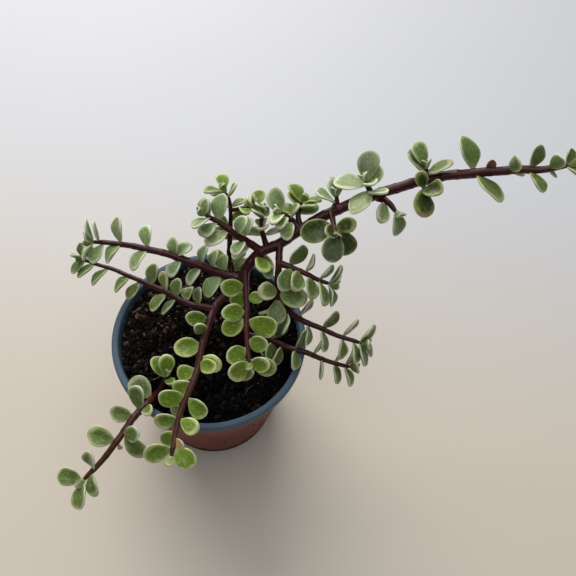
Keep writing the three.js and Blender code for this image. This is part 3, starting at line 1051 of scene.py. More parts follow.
@dataclass(frozen=True)
class Bud:
    """A small leaf or dry scrap at a side of a stem: where, how long, how turned, its colours."""

    distance: float
    length: float
    roll: float
    pitch: float
    tone: Tone | BudTone


SIDE_BUDS = {
    "front_branch": (Bud(98, 8, -80, 40, BudTone.DRY),),
    "low_front_branch": (Bud(62, 5, -100, 70, BudTone.BLUSH),),
    "main_stem": (
        Bud(220, 8.5, -45, 34, BudTone.OLIVE), Bud(84, 15, 70, 96, Tone.SUNNY),
        Bud(83, 15, 110, 96, Tone.MILD),
    ),
}


@dataclass
class LeafyStem:
    """One branch of the plant: its stems, and the leaves on them.

    Attributes:
        branch: its layout.
        number: its own number, which seeds its differences.
        stem: how its stems are drawn.
        blade: how its leaves are drawn.
        tip_pairs: the young leaves of a tip, as distance back from it, length and pitch.
        side_light: pull of the light on the upper face of the side buds.
        green_ended: names of the branches whose first shoot is green at its end.
        limbs: its shoots on their lines.
        leaves: its leaves, each with its colours and the radius of its stem there.
    """

    branch: Branch
    number: int
    stem: StemShape = StemShape()
    blade: LeafShape = LeafShape()
    tip_pairs: tuple[Triple, ...] = ((1.6, 6.5, 17), (0.7, 4.6, 9))
    side_light: float = 1
    green_ended: tuple[str, ...] = (
        "main_stem", "front_branch", "lower_right_branch", "low_front_branch",
    )
    limbs: list[Limb] = field(default_factory=list)
    leaves: list[tuple[Leaf, Tone | BudTone, float]] = field(default_factory=list)

    def __post_init__(self) -> None:
        """Lays the limbs."""
        self.limbs = [Limb(shoot) for shoot in self.branch.shoots]
        spines = [limb.spine() for limb in self.limbs]
        self.spine = np.vstack([points for points, _ in spines])
        self.spine_radius = np.concatenate([radius for _, radius in spines])

    def grow_leaves(self, others: list[LeafyStem], pot: Pot) -> None:
        """Places every leaf at the first turn that keeps it clear of what is round it.

        Args:
            others: the other branches.
            pot: the pot and its soil.
        """
        for twig, limb in enumerate(self.limbs):
            seed = LEAVES_PER_BRANCH * self.number + LEAVES_PER_TWIG * twig
            for index, pair in enumerate(limb.pairs):
                for hand, length in enumerate((pair.first, pair.second)):
                    if length:
                        number = seed + 2 * index + hand
                        self.place_leaf(limb, pair, hand, number, others, pot)

    def place_leaf(
        self,
        limb: Limb,
        pair: Pair,
        hand: int,
        number: int,
        others: list[LeafyStem],
        pot: Pot,
    ) -> None:
        """Places one leaf of a pair, or leaves it off where no turn is clear.

        Args:
            limb: the stem that it grows on.
            pair: the pair.
            hand: 0 for the first leaf of the pair, 1 for the second.
            number: the leaf's own number.
            others: the other branches.
            pot: the pot and its soil.
        """
        share = pair.distance / limb.line.length
        ruled = (1 - share) * LEAF.base_pitch + share * LEAF.tip_pitch
        pitch = ruled if pair.pitch is None else pair.pitch
        light = limb.shoot.light if pair.light is None else pair.light
        length = pair.second if hand else pair.first
        roll = pair.roll + HALF_TURN * hand + LEAF.roll_scatter * scatter(number)
        pitch += LEAF.pitch_scatter * scatter(number + PITCH_SEED)
        twist = LEAF.twist_scatter * scatter(number + TWIST_SEED)
        for roll_turn, pitch_turn in CLEARANCE.turns:
            turned, leant = roll + roll_turn, pitch + pitch_turn
            leaf = limb.leaf(pair.distance, length, turned, leant, light, twist)
            if self.is_clear(leaf, others, pot):
                radius = float(limb.radius(pair.distance))
                self.leaves.append((leaf, limb.shoot.tone, radius))
                return

    def is_clear(self, leaf: Leaf, others: list[LeafyStem], pot: Pot) -> bool:
        """Says whether a leaf is clear of the pot, its neighbours, and other leaves and stems.

        Args:
            leaf: the leaf.
            others: the other branches.
            pot: the pot and its soil.

        Returns:
            Whether it is clear of them all.
        """
        points = leaf.samples()
        if pot.is_touched(points):
            return False
        if not all(leaf.is_apart(other, CLEARANCE.neighbour) for other, *_ in self.leaves):
            return False
        for branch in others:
            if leaf.is_near(branch.spine, branch.spine_radius + CLEARANCE.stem):
                return False
            gaps = np.linalg.norm(points[:, None] - branch.spine[None], axis=-1)
            if np.any(gaps < branch.spine_radius + CLEARANCE.leaf):
                return False
            if not all(leaf.is_apart(other, CLEARANCE.leaf) for other, *_ in branch.leaves):
                return False
        return True

    def grow_buds(self) -> None:
        """Adds two crossed pairs of young leaves at every tip, and the side buds."""
        for limb in self.limbs:
            roll = limb.pairs[-1].roll
            for back, length, pitch in self.tip_pairs:
                roll += QUARTER_TURN
                for hand in (0, HALF_TURN):
                    young = limb.leaf(limb.line.length - back, length, roll + hand, pitch, 0)
                    self.leaves.append((young, limb.shoot.tone, 0))
        first = self.limbs[0]
        for bud in SIDE_BUDS.get(self.branch.name, ()):
            grown = first.leaf(bud.distance, bud.length, bud.roll, bud.pitch, self.side_light)
            self.leaves.append((grown, bud.tone, float(first.radius(bud.distance))))

    def build(self, bark: bpy.types.Material, leaf_skin: bpy.types.Material) -> None:
        """Makes the branch's two pieces.

        Args:
            bark: finish of the stems.
            leaf_skin: finish of the leaves.
        """
        name = self.branch.name
        wood = Skin(self.stem.columns)
        for twig, limb in enumerate(self.limbs):
            is_rooted = self.branch.on == "soil" and twig == 0
            greening = float(twig == 0 and name in self.green_ended)
            number = STEMS_PER_BRANCH * self.number + twig
            self.stem.draw(wood, limb, number, greening, is_rooted)
        keep(wood.piece(f"{name}_wood", bark), "leafy_stem", name)
        foliage = Skin(self.blade.columns)
        for index, (leaf, tone, radius) in enumerate(self.leaves):
            self.blade.draw(foliage, leaf, tone, radius, LEAVES_PER_BRANCH * self.number + index)
        keep(foliage.piece(f"{name}_leaves", leaf_skin), "leafy_stem", name)


@dataclass
class Plant:
    """The whole plant: all its branches, which keep clear of each other and of the pot."""

    branches: tuple[Branch, ...] = BRANCHES

    def build(self, pot: Pot) -> None:
        """Grows the leaves, then makes and dresses every branch.

        Args:
            pot: the pot and its soil, which the leaves keep clear of.
        """
        stems = [LeafyStem(branch, number) for number, branch in enumerate(self.branches)]
        for stem in stems:
            stem.grow_leaves([other for other in stems if other is not stem], pot)
        bark = BarkFinish().material()
        leaf_skin = LeafFinish().material()
        for stem in stems:
            stem.grow_buds()
            stem.build(bark, leaf_skin)


# ---------------------------------------------------------------- pot and potting mix


@dataclass
class Pot:
    """The moulded pot, turned from a rounded profile, with its drain holes.

    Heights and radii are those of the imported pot. A fillet is the radius of a rounded corner.
    """

    height: float = 110
    rim_radius: float = 60
    mouth_radius: float = 56
    rim_depth: float = 6
    foot_radius: float = 43.5
    wall: float = 1.6
    floor: float = 3
    groove_depth: float = 1
    groove_slant: float = 1
    foot_width: float = 7
    centre_pad: float = 12
    rim_lean: float = 0.2
    mouth_drop: float = 0.4
    throat_depth: float = 2
    pad_fillet: float = 0.5
    groove_fillet: float = 0.4
    foot_fillet: float = 1.3
    shoulder_fillet: float = 0.8
    lip_fillet: float = 0.9
    rim_fillet: float = 1.5
    mouth_fillet: float = 1.3
    throat_fillet: float = 1.2
    floor_fillet: float = 1.5
    drain_holes: int = 8
    drain_radius: float = 3.5
    drain_circle: float = 27
    drill_columns: int = 24
    columns: int = 200
    fillet_steps: int = 5
    soil_level: float = 104
    soil_relief: float = 1.4
    hump_pace: Span = (0.19, 0.23)
    hump_start: float = 1
    ripple_share: float = 0.4
    ripple_pace: float = 0.4
    lining_depth: float = 0.4

    def wall_radius(self, height: Array | float) -> Array:
        """Returns the outer radius of the wall under the rim at a height."""
        top = self.mouth_radius + self.wall
        return self.foot_radius + (top - self.foot_radius) * np.asarray(height) / self.height

    def relief(self, x: Array, y: Array) -> Array:
        """Finds the soil's humps.

        Args:
            x: places to the right.
            y: places to the back.

        Returns:
            The height of the humps above the soil's level at each place.
        """
        pace_x, pace_y = self.hump_pace
        humps = np.sin(x * pace_x + self.hump_start) * np.cos(y * pace_y)
        humps = humps + self.ripple_share * np.sin((x - y) * self.ripple_pace)
        return self.soil_relief * humps

    def is_touched(self, points: Array) -> bool:
        """Says whether a leaf is inside or against the pot or the soil.

        Args:
            points: points of the leaf.

        Returns:
            Whether any of them is.
        """
        margin = CLEARANCE.pot
        reach = np.hypot(points[:, 0], points[:, 1])
        low = points[:, 2] <= self.height + margin
        in_rim = (reach > self.mouth_radius - margin) & (reach < self.rim_radius + margin)
        surface = self.soil_level + self.soil_relief + margin
        in_soil = (reach <= self.mouth_radius) & (points[:, 2] < surface)
        return bool(np.any(low & (in_rim | in_soil)))

    def corners(self) -> list[Triple]:
        """Lists the profile's corners, from under the floor round to the top of the floor.

        Returns:
            The radius, height and fillet of each.
        """
        rim_foot = self.height - self.rim_depth
        ring = self.foot_radius - self.foot_width
        throat = rim_foot - self.throat_depth
        slant = self.groove_slant
        return [
            (self.centre_pad, 0, self.pad_fillet),
            (self.centre_pad + slant, self.groove_depth, self.groove_fillet),
            (ring, self.groove_depth, self.groove_fillet),
            (ring + slant, 0, self.groove_fillet),
            (self.foot_radius, 0, self.foot_fillet),
            (float(self.wall_radius(rim_foot)), rim_foot, self.shoulder_fillet),
            (self.rim_radius, rim_foot - self.rim_lean, self.lip_fillet),
            (self.rim_radius, self.height, self.rim_fillet),
            (self.mouth_radius, self.height - self.mouth_drop, self.mouth_fillet),
            (float(self.wall_radius(throat)) - self.wall, throat, self.throat_fillet),
            (float(self.wall_radius(self.floor)) - self.wall, self.floor, self.floor_fillet),
        ]

    def profile(self) -> Array:
        """Rounds the profile's corners.

        Returns:
            Rows of radius and height.
        """
        corners = np.array(self.corners(), float)
        places = np.vstack([[0, 0], corners[:, :2], [0, self.floor]])
        rows: list[Array] = []
        for index, (radius, height, fillet) in enumerate(corners, start=1):
            corner = np.array([radius, height])
            back = unit(places[index - 1] - corner)
            onward = unit(places[index + 1] - corner)
            half = math.acos(float(np.clip(back @ onward, -1, 1))) / 2
            room = fillet / math.tan(half)
            centre = corner + unit(back + onward) * fillet / math.sin(half)
            first, last = corner + back * room - centre, corner + onward * room - centre
            sweep = math.pi - 2 * half
            for step in np.linspace(0, 1, self.fillet_steps):
                leaving, reaching = math.sin((1 - step) * sweep), math.sin(step * sweep)
                rows.append(centre + (leaving * first + reaching * last) / math.sin(sweep))
        return np.array(rows)

    def build(self) -> None:
        """Makes the pot, drills its floor and dresses it."""
        profile = self.profile()
        skin = Skin(self.columns)
        angle = skin.around(len(profile))
        radius = skin.down(0, profile[:, 0], 0)
        height = skin.down(0, profile[:, 1], self.floor)
        skin.add(np.stack([radius * np.cos(angle), radius * np.sin(angle), height], 1))
        pot = skin.piece("pot_shell", PotFinish().material())
        self.drill(pot)
        self.mark(pot)
        keep(pot, "pot", "pot")

    def drill(self, pot: bpy.types.Object) -> None:
        """Cuts the drain holes through the floor.

        Args:
            pot: the turned pot.
        """
        drills = Skin(self.drill_columns)
        ends = [-self.floor, 2 * self.floor]
        angle = drills.around(len(ends))
        radius = drills.down(0, [self.drain_radius] * len(ends), 0)
        height = drills.down(ends[0], ends, ends[1])
        for hole in range(self.drain_holes):
            turn = math.tau * hole / self.drain_holes
            x = self.drain_circle * math.cos(turn) + radius * np.cos(angle)
            y = self.drain_circle * math.sin(turn) + radius * np.sin(angle)
            drills.add(np.stack([x, y, height], 1))
        cutter = drills.piece("drain_drills", pot.data.materials[0])
        cut = pot.modifiers.new("drain_holes", "BOOLEAN")
        cut.object = cutter
        cut.operation = "DIFFERENCE"
        cut.solver = "EXACT"
        graph = bpy.context.evaluated_depsgraph_get()
        drilled = bpy.data.meshes.new_from_object(pot.evaluated_get(graph))
        pot.modifiers.clear()
        pot.data = drilled
        bpy.data.objects.remove(cutter)

    def mark(self, pot: bpy.types.Object) -> None:
        """Gives every point its place in millimetres, and says which have the lining's colour.

        Args:
            pot: the drilled pot.
        """
        mesh = pot.data
        flat = np.zeros(3 * len(mesh.vertices), np.float32)
        mesh.vertices.foreach_get("co", flat)
        place = flat.reshape(-1, 3) / MM
        radius, height = np.hypot(place[:, 0], place[:, 1]), place[:, 2]
        inside = radius < self.wall_radius(height) - self.wall / 2
        inside &= height > self.floor / 2
        lining = inside | (height > self.height - self.rim_depth - self.lining_depth)
        where = mesh.attributes.new("pot_place", "FLOAT_VECTOR", "POINT")
        where.data.foreach_set("vector", place.ravel())
        colour = mesh.attributes.new("pot_lining", "FLOAT", "POINT")
        colour.data.foreach_set("value", lining.astype(np.float32))


@dataclass
class PottingMix:
    """The mix in the pot: one lumpy bed, loose crumbs, chips of bark and fine root fibres.

    Spin, tilt and bend are in radians.
    """

    pot: Pot
    gap: float = 0.3
    skirt: float = 2
    bevel: float = 2
    flat_radius: float = 46
    columns: int = 180
    ring_gap: float = 0.9
    lump: float = 1.5
    lump_size: float = 3.4
    lump_fading: float = 1.0
    lump_refining: float = 2.0
    lump_octaves: int = 3
    layers: int = 3
    crumbs: int = 4000
    crumb_seed: int = 11
    crumb_rows: int = 3
    crumb_columns: int = 6
    crumb_size: Span = (0.35, 1.8)
    crumb_rarity: float = 3
    crumb_roughness: float = 0.5
    crumb_stretch: Span = (0.7, 1.3)
    crumb_spin: float = 6.28
    crumb_tilt: float = 0.5
    crumb_lift: float = 0.1
    crumb_reach: float = 54.4
    layer_lift: float = 0.6
    dampness: float = 5
    chips: int = 60
    chip_size: Span = (0.8, 1.3)
    chip_stretch: Triple = (2.2, 1.1, 0.4)
    chip_tone: Span = (0.4, 1)
    fibres: int = 16
    fibre_seed: int = 12
    fibre_radius: float = 0.16
    fibre_taper: float = 1.2
    fibre_rings: int = 24
    fibre_columns: int = 6
    fibre_points: int = 6
    fibre_length: Span = (6, 17)
    fibre_reach: Span = (8, 48)
    fibre_lift: Span = (0.8, 2.1)
    fibre_bend: float = 0.6
    fibre_margin: float = 2
    long_fibre: tuple[Span, ...] = (
        (-33, -36), (-29, -33.5), (-26, -31.5), (-21, -26.5),
    )
    long_fibre_lift: float = 2.3
    long_fibre_radius: float = 0.3

    def surface(self, x: Array, y: Array) -> Array:
        """Finds the bed's lumpy surface, which slopes down to the wall.

        Args:
            x: places to the right.
            y: places to the back.

        Returns:
            The height of the bed at each place.
        """
        radius = np.hypot(x, y)
        wall = self.pot.mouth_radius - self.pot.wall
        slope = np.clip((radius - self.flat_radius) / (wall - self.flat_radius), 0, 1)
        slope = slope * slope * (3 - 2 * slope)
        settings = self.lump_fading, self.lump_refining, self.lump_octaves
        places = [Vector((a, b, 0)) / self.lump_size for a, b in zip(x.ravel(), y.ravel())]
        lumps = np.array([noise.fractal(place, *settings) for place in places]).reshape(x.shape)
        level = self.pot.soil_level
        height = level + self.pot.relief(x, y) + self.lump * lumps
        return height * (1 - slope) + (level - self.skirt + self.lump * lumps / 2) * slope

    def build(self) -> None:
        """Makes and dresses the bed, the crumbs and the fibres."""
        finish = PottingMixFinish().material()
        self.build_bed(finish)
        self.build_crumbs(finish)
        self.build_fibres(RootFinish().material())

    def build_bed(self, finish: bpy.types.Material) -> None:
        """Makes the bed, which fills the pot up to its lumpy surface.

        Args:
            finish: its finish.
        """
        bottom = self.pot.floor + self.gap
        top = self.pot.soil_level - self.skirt
        foot = bottom + self.bevel
        edge = [float(self.pot.wall_radius(at)) - self.pot.wall - self.gap for at in (foot, top)]
        inward = np.arange(edge[1], self.ring_gap / 2, -self.ring_gap)
        profile = np.concatenate([[edge[0] - self.bevel, edge[0]], inward])
        skin = Skin(self.columns)
        angle = skin.around(len(profile))
        radius = skin.down(0, profile, 0)
        x, y = radius * np.cos(angle), radius * np.sin(angle)
        height = self.surface(x, y)
        height[: 1 + self.columns] = bottom
        height[1 + self.columns : 1 + 2 * self.columns] = foot
        place = np.stack([x, y, height], 1)
        skin.add(place, mix_tone=0.0, mix_place=place)
        keep(skin.piece("soil_bed", finish), "soil", "soil")

    def build_crumbs(self, finish: bpy.types.Material) -> None:
        """Strews layers of crumbs and flat chips over the bed.

        Args:
            finish: their finish.
        """
        rng = np.random.default_rng(self.crumb_seed)
        for layer in range(self.layers):
            skin = Skin(self.crumb_columns, is_smooth=False)
            for index in range(self.crumbs + self.chips):
                self.strew(skin, rng, layer, index >= self.crumbs)
            keep(skin.piece(f"soil_crumbs_{layer + 1}", finish), "soil", "soil")

    def strew(self, skin: Skin, rng: np.random.Generator, layer: int, is_chip: bool) -> None:
        """Adds one crumb, or one flat chip.

        Args:
            skin: the mesh to add it to.
            rng: where its differences come from.
            layer: how many layers lie under it.
            is_chip: whether it is a chip.
        """
        angle = skin.around(self.crumb_rows)
        tilt = np.radians(np.linspace(-QUARTER_TURN, QUARTER_TURN, self.crumb_rows + 2))
        tilt = skin.down(tilt[0], tilt[1:-1], tilt[-1])
        flat = np.cos(tilt)
        ball = np.stack([flat * np.cos(angle), flat * np.sin(angle), np.sin(tilt)], 1)
        reach = self.crumb_reach * math.sqrt(rng.uniform())
        turn = rng.uniform(0, math.tau)
        x, y = reach * math.cos(turn), reach * math.sin(turn)
        low, high = self.crumb_size
        size = low + (high - low) * rng.uniform() ** self.crumb_rarity
        stretch = rng.uniform(*self.crumb_stretch, 3)
        if is_chip:
            stretch *= self.chip_stretch
            size = rng.uniform(*self.chip_size)
        rough = 1 + self.crumb_roughness * rng.uniform(-1, 1, len(ball))
        spin = Matrix.Rotation(rng.uniform(0, self.crumb_spin), 3, "Z")
        spin = spin @ Matrix.Rotation(rng.uniform(-self.crumb_tilt, self.crumb_tilt), 3, "X")
        lump = (ball * rough[:, None] * stretch * size) @ np.array(spin).T
        ground = float(self.surface(np.array([x]), np.array([y]))[0])
        lift = (self.crumb_lift + self.layer_lift * layer * rng.uniform()) * size
        place = lump + (x, y, ground + lift)
        tone = rng.uniform(*self.chip_tone) if is_chip else rng.uniform() ** (self.dampness * size)
        skin.add(place, mix_tone=tone, mix_place=place)

    def build_fibres(self, finish: bpy.types.Material) -> None:
        """Lays fine dead roots over the bed.

        Args:
            finish: their finish.
        """
        rng = np.random.default_rng(self.fibre_seed)
        skin = Skin(self.fibre_columns)
        for _ in range(self.fibres):
            self.lay_fibre(skin, self.wander(rng), self.fibre_radius)
        x, y = np.array(self.long_fibre).T
        height = self.surface(x, y) + self.long_fibre_lift
        self.lay_fibre(skin, np.stack([x, y, height], 1), self.long_fibre_radius)
        keep(skin.piece("soil_fibres", finish), "soil", "soil")

    def wander(self, rng: np.random.Generator) -> list[Triple]:
        """Draws the route of a fibre that winds over the bed.

        Args:
            rng: where its turns come from.

        Returns:
            The points of its route.
        """
        reach, turn = rng.uniform(*self.fibre_reach), rng.uniform(0, math.tau)
        heading = rng.uniform(0, math.tau)
        x, y = reach * math.cos(turn), reach * math.sin(turn)
        step = rng.uniform(*self.fibre_length) / (self.fibre_points - 1)
        route = []
        for _ in range(self.fibre_points):
            if math.hypot(x, y) > self.crumb_reach - self.fibre_margin:
                heading += math.pi
            ground = float(self.surface(np.array([x]), np.array([y]))[0])
            route.append((x, y, ground + rng.uniform(*self.fibre_lift)))
            heading += rng.uniform(-self.fibre_bend, self.fibre_bend)
            x, y = x + step * math.cos(heading), y + step * math.sin(heading)
        return route

    def lay_fibre(self, skin: Skin, route: Iterable[Iterable[float]], thickness: float) -> None:
        """Adds one fibre, which tapers along its route.

        Args:
            skin: the mesh to add it to.
            route: the points that it goes through.
            thickness: its radius near its thicker end.
        """
        line = CentreLine(route)
        down = np.linspace(0, line.length, self.fibre_rings)
        frames = line.frames(down)
        radius = thickness * (self.fibre_taper - down / line.length)
        turns = skin.angles[None, :, None]
        out = frames.top[:, None] * np.cos(turns) + frames.side[:, None] * np.sin(turns)
        rings = frames.centre[:, None] + out * radius[:, None, None]
        ends = frames.centre[[0, -1]]
        skin.add(np.vstack([ends[:1], rings.reshape(-1, 3), ends[1:]]))


# ---------------------------------------------------------------- finishes


class Signal:
    """One output of a shader node, so that sums with it read as sums."""

    def __init__(self, bench: Bench, socket: bpy.types.NodeSocket) -> None:
        """Wraps a socket of a bench's material."""
        self.bench = bench
        self.socket = socket

    def __add__(self, other: Signal | float) -> Signal:
        """Returns this number plus another."""
        return self.bench.sums("ADD", self, other)

    __radd__ = __add__

    def __sub__(self, other: Signal | float) -> Signal:
        """Returns this number less another."""
        return self.bench.sums("SUBTRACT", self, other)

    def __rsub__(self, other: Signal | float) -> Signal:
        """Returns another number less this one."""
        return self.bench.sums("SUBTRACT", other, self)

    def __mul__(self, other: Signal | float) -> Signal:
        """Returns this number times another."""
        return self.bench.sums("MULTIPLY", self, other)

    __rmul__ = __mul__


def between(ends: Span, share: Signal) -> Signal:
    """Returns a number that goes from the first end to the second as the share goes to 1."""
    return ends[0] + (ends[1] - ends[0]) * share


class Bench:
    """One material in the making. Every node of it comes from the method node."""

    CLOUDS = {"Detail": 3, "Roughness": 0.55}
    MIX_SHARE, MIX_LOW, MIX_HIGH, MIX_RESULT = 0, 6, 7, 2

    def __init__(self, name: str) -> None:
        """Starts an empty material.

        Args:
            name: its name.
        """
        self.material = bpy.data.materials.new(name)
        self.material.use_nodes = True
        self.material.node_tree.nodes.clear()

    def node(
        self,
        kind: str,
        settings: dict[str, object] | None = None,
        inputs: dict[str | int, object] | None = None,
        output: str | int = 0,
    ) -> Signal:
        """Makes a node.

        Args:
            kind: the node's type.
            settings: its settings, which are set first.
            inputs: the value or the link of each of its sockets.
            output: the output that is wanted.

        Returns:
            That output.
        """
        tree = self.material.node_tree
        made = tree.nodes.new(kind)
        for key, value in (settings or {}).items():
            setattr(made, key, value)
        for key, value in (inputs or {}).items():
            if isinstance(value, Signal):
                tree.links.new(value.socket, made.inputs[key])
            else:
                made.inputs[key].default_value = value
        return Signal(self, made.outputs[output] if made.outputs else made.inputs[0])

    def sums(self, operation: str, left: Signal | float, right: Signal | float) -> Signal:
        """Returns one sum of two numbers."""
        return self.node("ShaderNodeMath", {"operation": operation}, {0: left, 1: right})

    def layer(self, name: str, output: str = "Fac") -> Signal:
        """Returns what a skin stores at its points under a name."""
        return self.node("ShaderNodeAttribute", {"attribute_name": name}, None, output)

    def rise(self, value: Signal, low: float, high: float) -> Signal:
        """Makes a smooth step.

        Args:
            value: the number that runs over it.
            low: where it starts.
            high: where it ends.

        Returns:
            The step, which is 0 up to low and 1 from high on.
        """
        settings = {"interpolation_type": "SMOOTHSTEP"}
        sockets = {"Value": value, "From Min": low, "From Max": high}
        return self.node("ShaderNodeMapRange", settings, sockets)

    def mix(self, low: Signal | Colour, high: Signal | Colour, share: Signal | float) -> Signal:
        """Returns a colour between two others."""
        sockets = {self.MIX_SHARE: share, self.MIX_LOW: low, self.MIX_HIGH: high}
        return self.node("ShaderNodeMix", {"data_type": "RGBA"}, sockets, self.MIX_RESULT)

    def scaled(self, vector: Signal, by: Signal | Triple) -> Signal:
        """Returns a vector or a colour times another."""
        return self.node("ShaderNodeVectorMath", {"operation": "MULTIPLY"}, {0: vector, 1: by})

    def ahead(self, place: Signal, heading: Triple) -> Signal:
        """Returns how far a place lies along a heading."""
        settings = {"operation": "DOT_PRODUCT"}
        return self.node("ShaderNodeVectorMath", settings, {0: place, 1: heading}, "Value")

    def dimmed(self, colour: Signal, by: Signal) -> Signal:
        """Returns a colour times a number."""
        return self.node("ShaderNodeVectorMath", {"operation": "SCALE"}, {0: colour, "Scale": by})

    def grain(self, place: Signal, scale: float) -> Signal:
        """Returns a cloudy pattern between 0 and 1."""
        sockets = {"Vector": place, "Scale": scale, **self.CLOUDS}
        return self.node("ShaderNodeTexNoise", None, sockets)

    def bump(self, height: Signal, depth: float) -> Signal:
        """Returns a normal for a relief this many millimetres deep."""
        return self.node("ShaderNodeBump", None, {"Height": height, "Distance": depth * MM})

    def finish(self, sockets: dict[str, object]) -> bpy.types.Material:
        """Closes the material with its surface.

        Args:
            sockets: what goes into the surface.

        Returns:
            The material.
        """
        surface = self.node("ShaderNodeBsdfPrincipled", None, sockets)
        self.node("ShaderNodeOutputMaterial", None, {"Surface": surface})
        return self.material


@dataclass(frozen=True)
class LeafFinish:
    """Waxy leaf: a green middle that fades to a pale margin, with a bright edge and tinged ends.

    Patches and streaks shift the fade, and flecks of the margin's colour break up the middle.
    """

    under: Colour = shade(150, 164, 116)
    foot: Colour = shade(190, 188, 130)
    edge: Colour = shade(232, 238, 212)
    blush: Colour = shade(150, 92, 66)
    patch_scale: float = 0.22
    patch_depth: float = 0.75
    streak_stretch: Triple = (1.4, 0.25, 1)
    streaking: float = 0.6
    shift: float = 0.4
    fade: Span = (0.03, 0.62)
    fleck_stretch: Triple = (1.3, 0.55, 1)
    fleck_scale: float = 0.9
    fleck_edge: Span = (0.45, 0.75)
    flecking: float = 0.38
    under_share: float = 0.3
    foot_share: float = 0.5
    foot_edge: Span = (0.1, 0.36)
    edge_share: float = 0.62
    edge_reach: float = 0.12
    blush_share: float = 0.5
    blush_edge: Span = (0.86, 1)
    blush_luck: Span = (0.55, 0.85)
    shading: Span = (0.8, 1.2)
    roughness: Span = (0.4, 0.6)
    patch_relief: float = 0.6
    streak_relief: float = 0.4
    relief: float = 0.15
    glow_depth: float = 1.2

    def material(self) -> bpy.types.Material:
        """Makes the material.

        Returns:
            The finish as a material.
        """
        bench = Bench("variegated_leaf")
        inner, share = bench.layer("leaf_inner"), bench.layer("leaf_share")
        upper, luck = bench.layer("leaf_upper"), bench.layer("leaf_luck")
        blade = bench.layer("leaf_blade", "Vector")
        patches = bench.grain(blade, self.patch_scale)
        streaks = bench.grain(bench.scaled(blade, self.streak_stretch), 1)
        depth = inner + self.patch_depth * (patches - 0.5) + self.streaking * (streaks - 0.5)
        depth = depth + self.shift * (0.5 - luck)
        middle = bench.rise(depth, *self.fade)
        margin = bench.layer("leaf_margin", "Color")
        flecks = bench.grain(bench.scaled(blade, self.fleck_stretch), self.fleck_scale)
        middle = middle * (1 - self.flecking * bench.rise(flecks, *self.fleck_edge))
        colour = bench.mix(margin, bench.layer("leaf_middle", "Color"), middle)
        colour = bench.mix(colour, self.under, self.under_share * (1 - upper))
        foot = self.foot_share * (1 - bench.rise(share, *self.foot_edge))
        colour = bench.mix(colour, self.foot, foot)
        edge = self.edge_share * (1 - bench.rise(inner, 0, self.edge_reach))
        colour = bench.mix(colour, self.edge, edge)
        tinge = bench.rise(share, *self.blush_edge) * bench.rise(luck, *self.blush_luck)
        colour = bench.mix(colour, self.blush, self.blush_share * tinge)
        relief = self.patch_relief * patches + self.streak_relief * streaks
        return bench.finish({
            "Base Color": bench.dimmed(colour, between(self.shading, streaks)),
            "Roughness": between(self.roughness, patches),
            "Normal": bench.bump(relief, self.relief),
            "Specular IOR Level": 0.4,
            "Coat Weight": 0.22,
            "Coat Roughness": 0.25,
            "Subsurface Weight": 0.2,
            "Subsurface Radius": (1.0, 1.0, 0.4),
            "Subsurface Scale": self.glow_depth * MM,
        })


@dataclass(frozen=True)
class BarkFinish:
    """Smooth maroon stem, redder where it is young, olive at its tip and scarred at its knots."""

    old: Colour = shade(68, 17, 21)
    young: Colour = shade(57, 14, 12)
    tip: Colour = shade(86, 54, 24)
    line: Colour = shade(108, 50, 52)
    scar: Colour = shade(140, 98, 80)
    ring: Colour = shade(30, 10, 12)
    line_stretch: Triple = (1, 1, 0.1)
    line_scale: float = 1.1
    speck_scale: float = 1.6
    tip_share: float = 0.8
    line_share: float = 0.4
    line_edge: Span = (0.5, 0.72)
    scar_share: float = 0.45
    scar_edge: Span = (0.4, 0.95)
    ring_share: float = 0.6
    shading: Span = (0.6, 1.4)
    roughness: Span = (0.34, 0.54)
    line_relief: float = 0.7
    speck_relief: float = 0.3
    relief: float = 0.2

    def material(self) -> bpy.types.Material:
        """Makes the material.

        Returns:
            The finish as a material.
        """
        bench = Bench("maroon_bark")
        scar = bench.rise(bench.layer("bark_scar"), *self.scar_edge)
        place = bench.layer("bark_grain", "Vector")
        lines = bench.grain(bench.scaled(place, self.line_stretch), self.line_scale)
        specks = bench.grain(place, self.speck_scale)
        colour = bench.mix(self.young, self.old, bench.layer("bark_age"))
        colour = bench.mix(colour, self.tip, self.tip_share * bench.layer("bark_tip"))
        colour = bench.mix(colour, self.line, self.line_share * bench.rise(lines, *self.line_edge))
        colour = bench.mix(colour, self.scar, self.scar_share * scar)
        colour = bench.mix(colour, self.ring, self.ring_share * bench.layer("bark_ring"))
        relief = self.line_relief * lines + self.speck_relief * specks
        return bench.finish({
            "Base Color": bench.dimmed(colour, between(self.shading, specks)),
            "Roughness": between(self.roughness, lines),
            "Normal": bench.bump(relief, self.relief),
            "Specular IOR Level": 0.2,
            "Coat Weight": 0.32,
            "Coat Roughness": 0.1,
        })


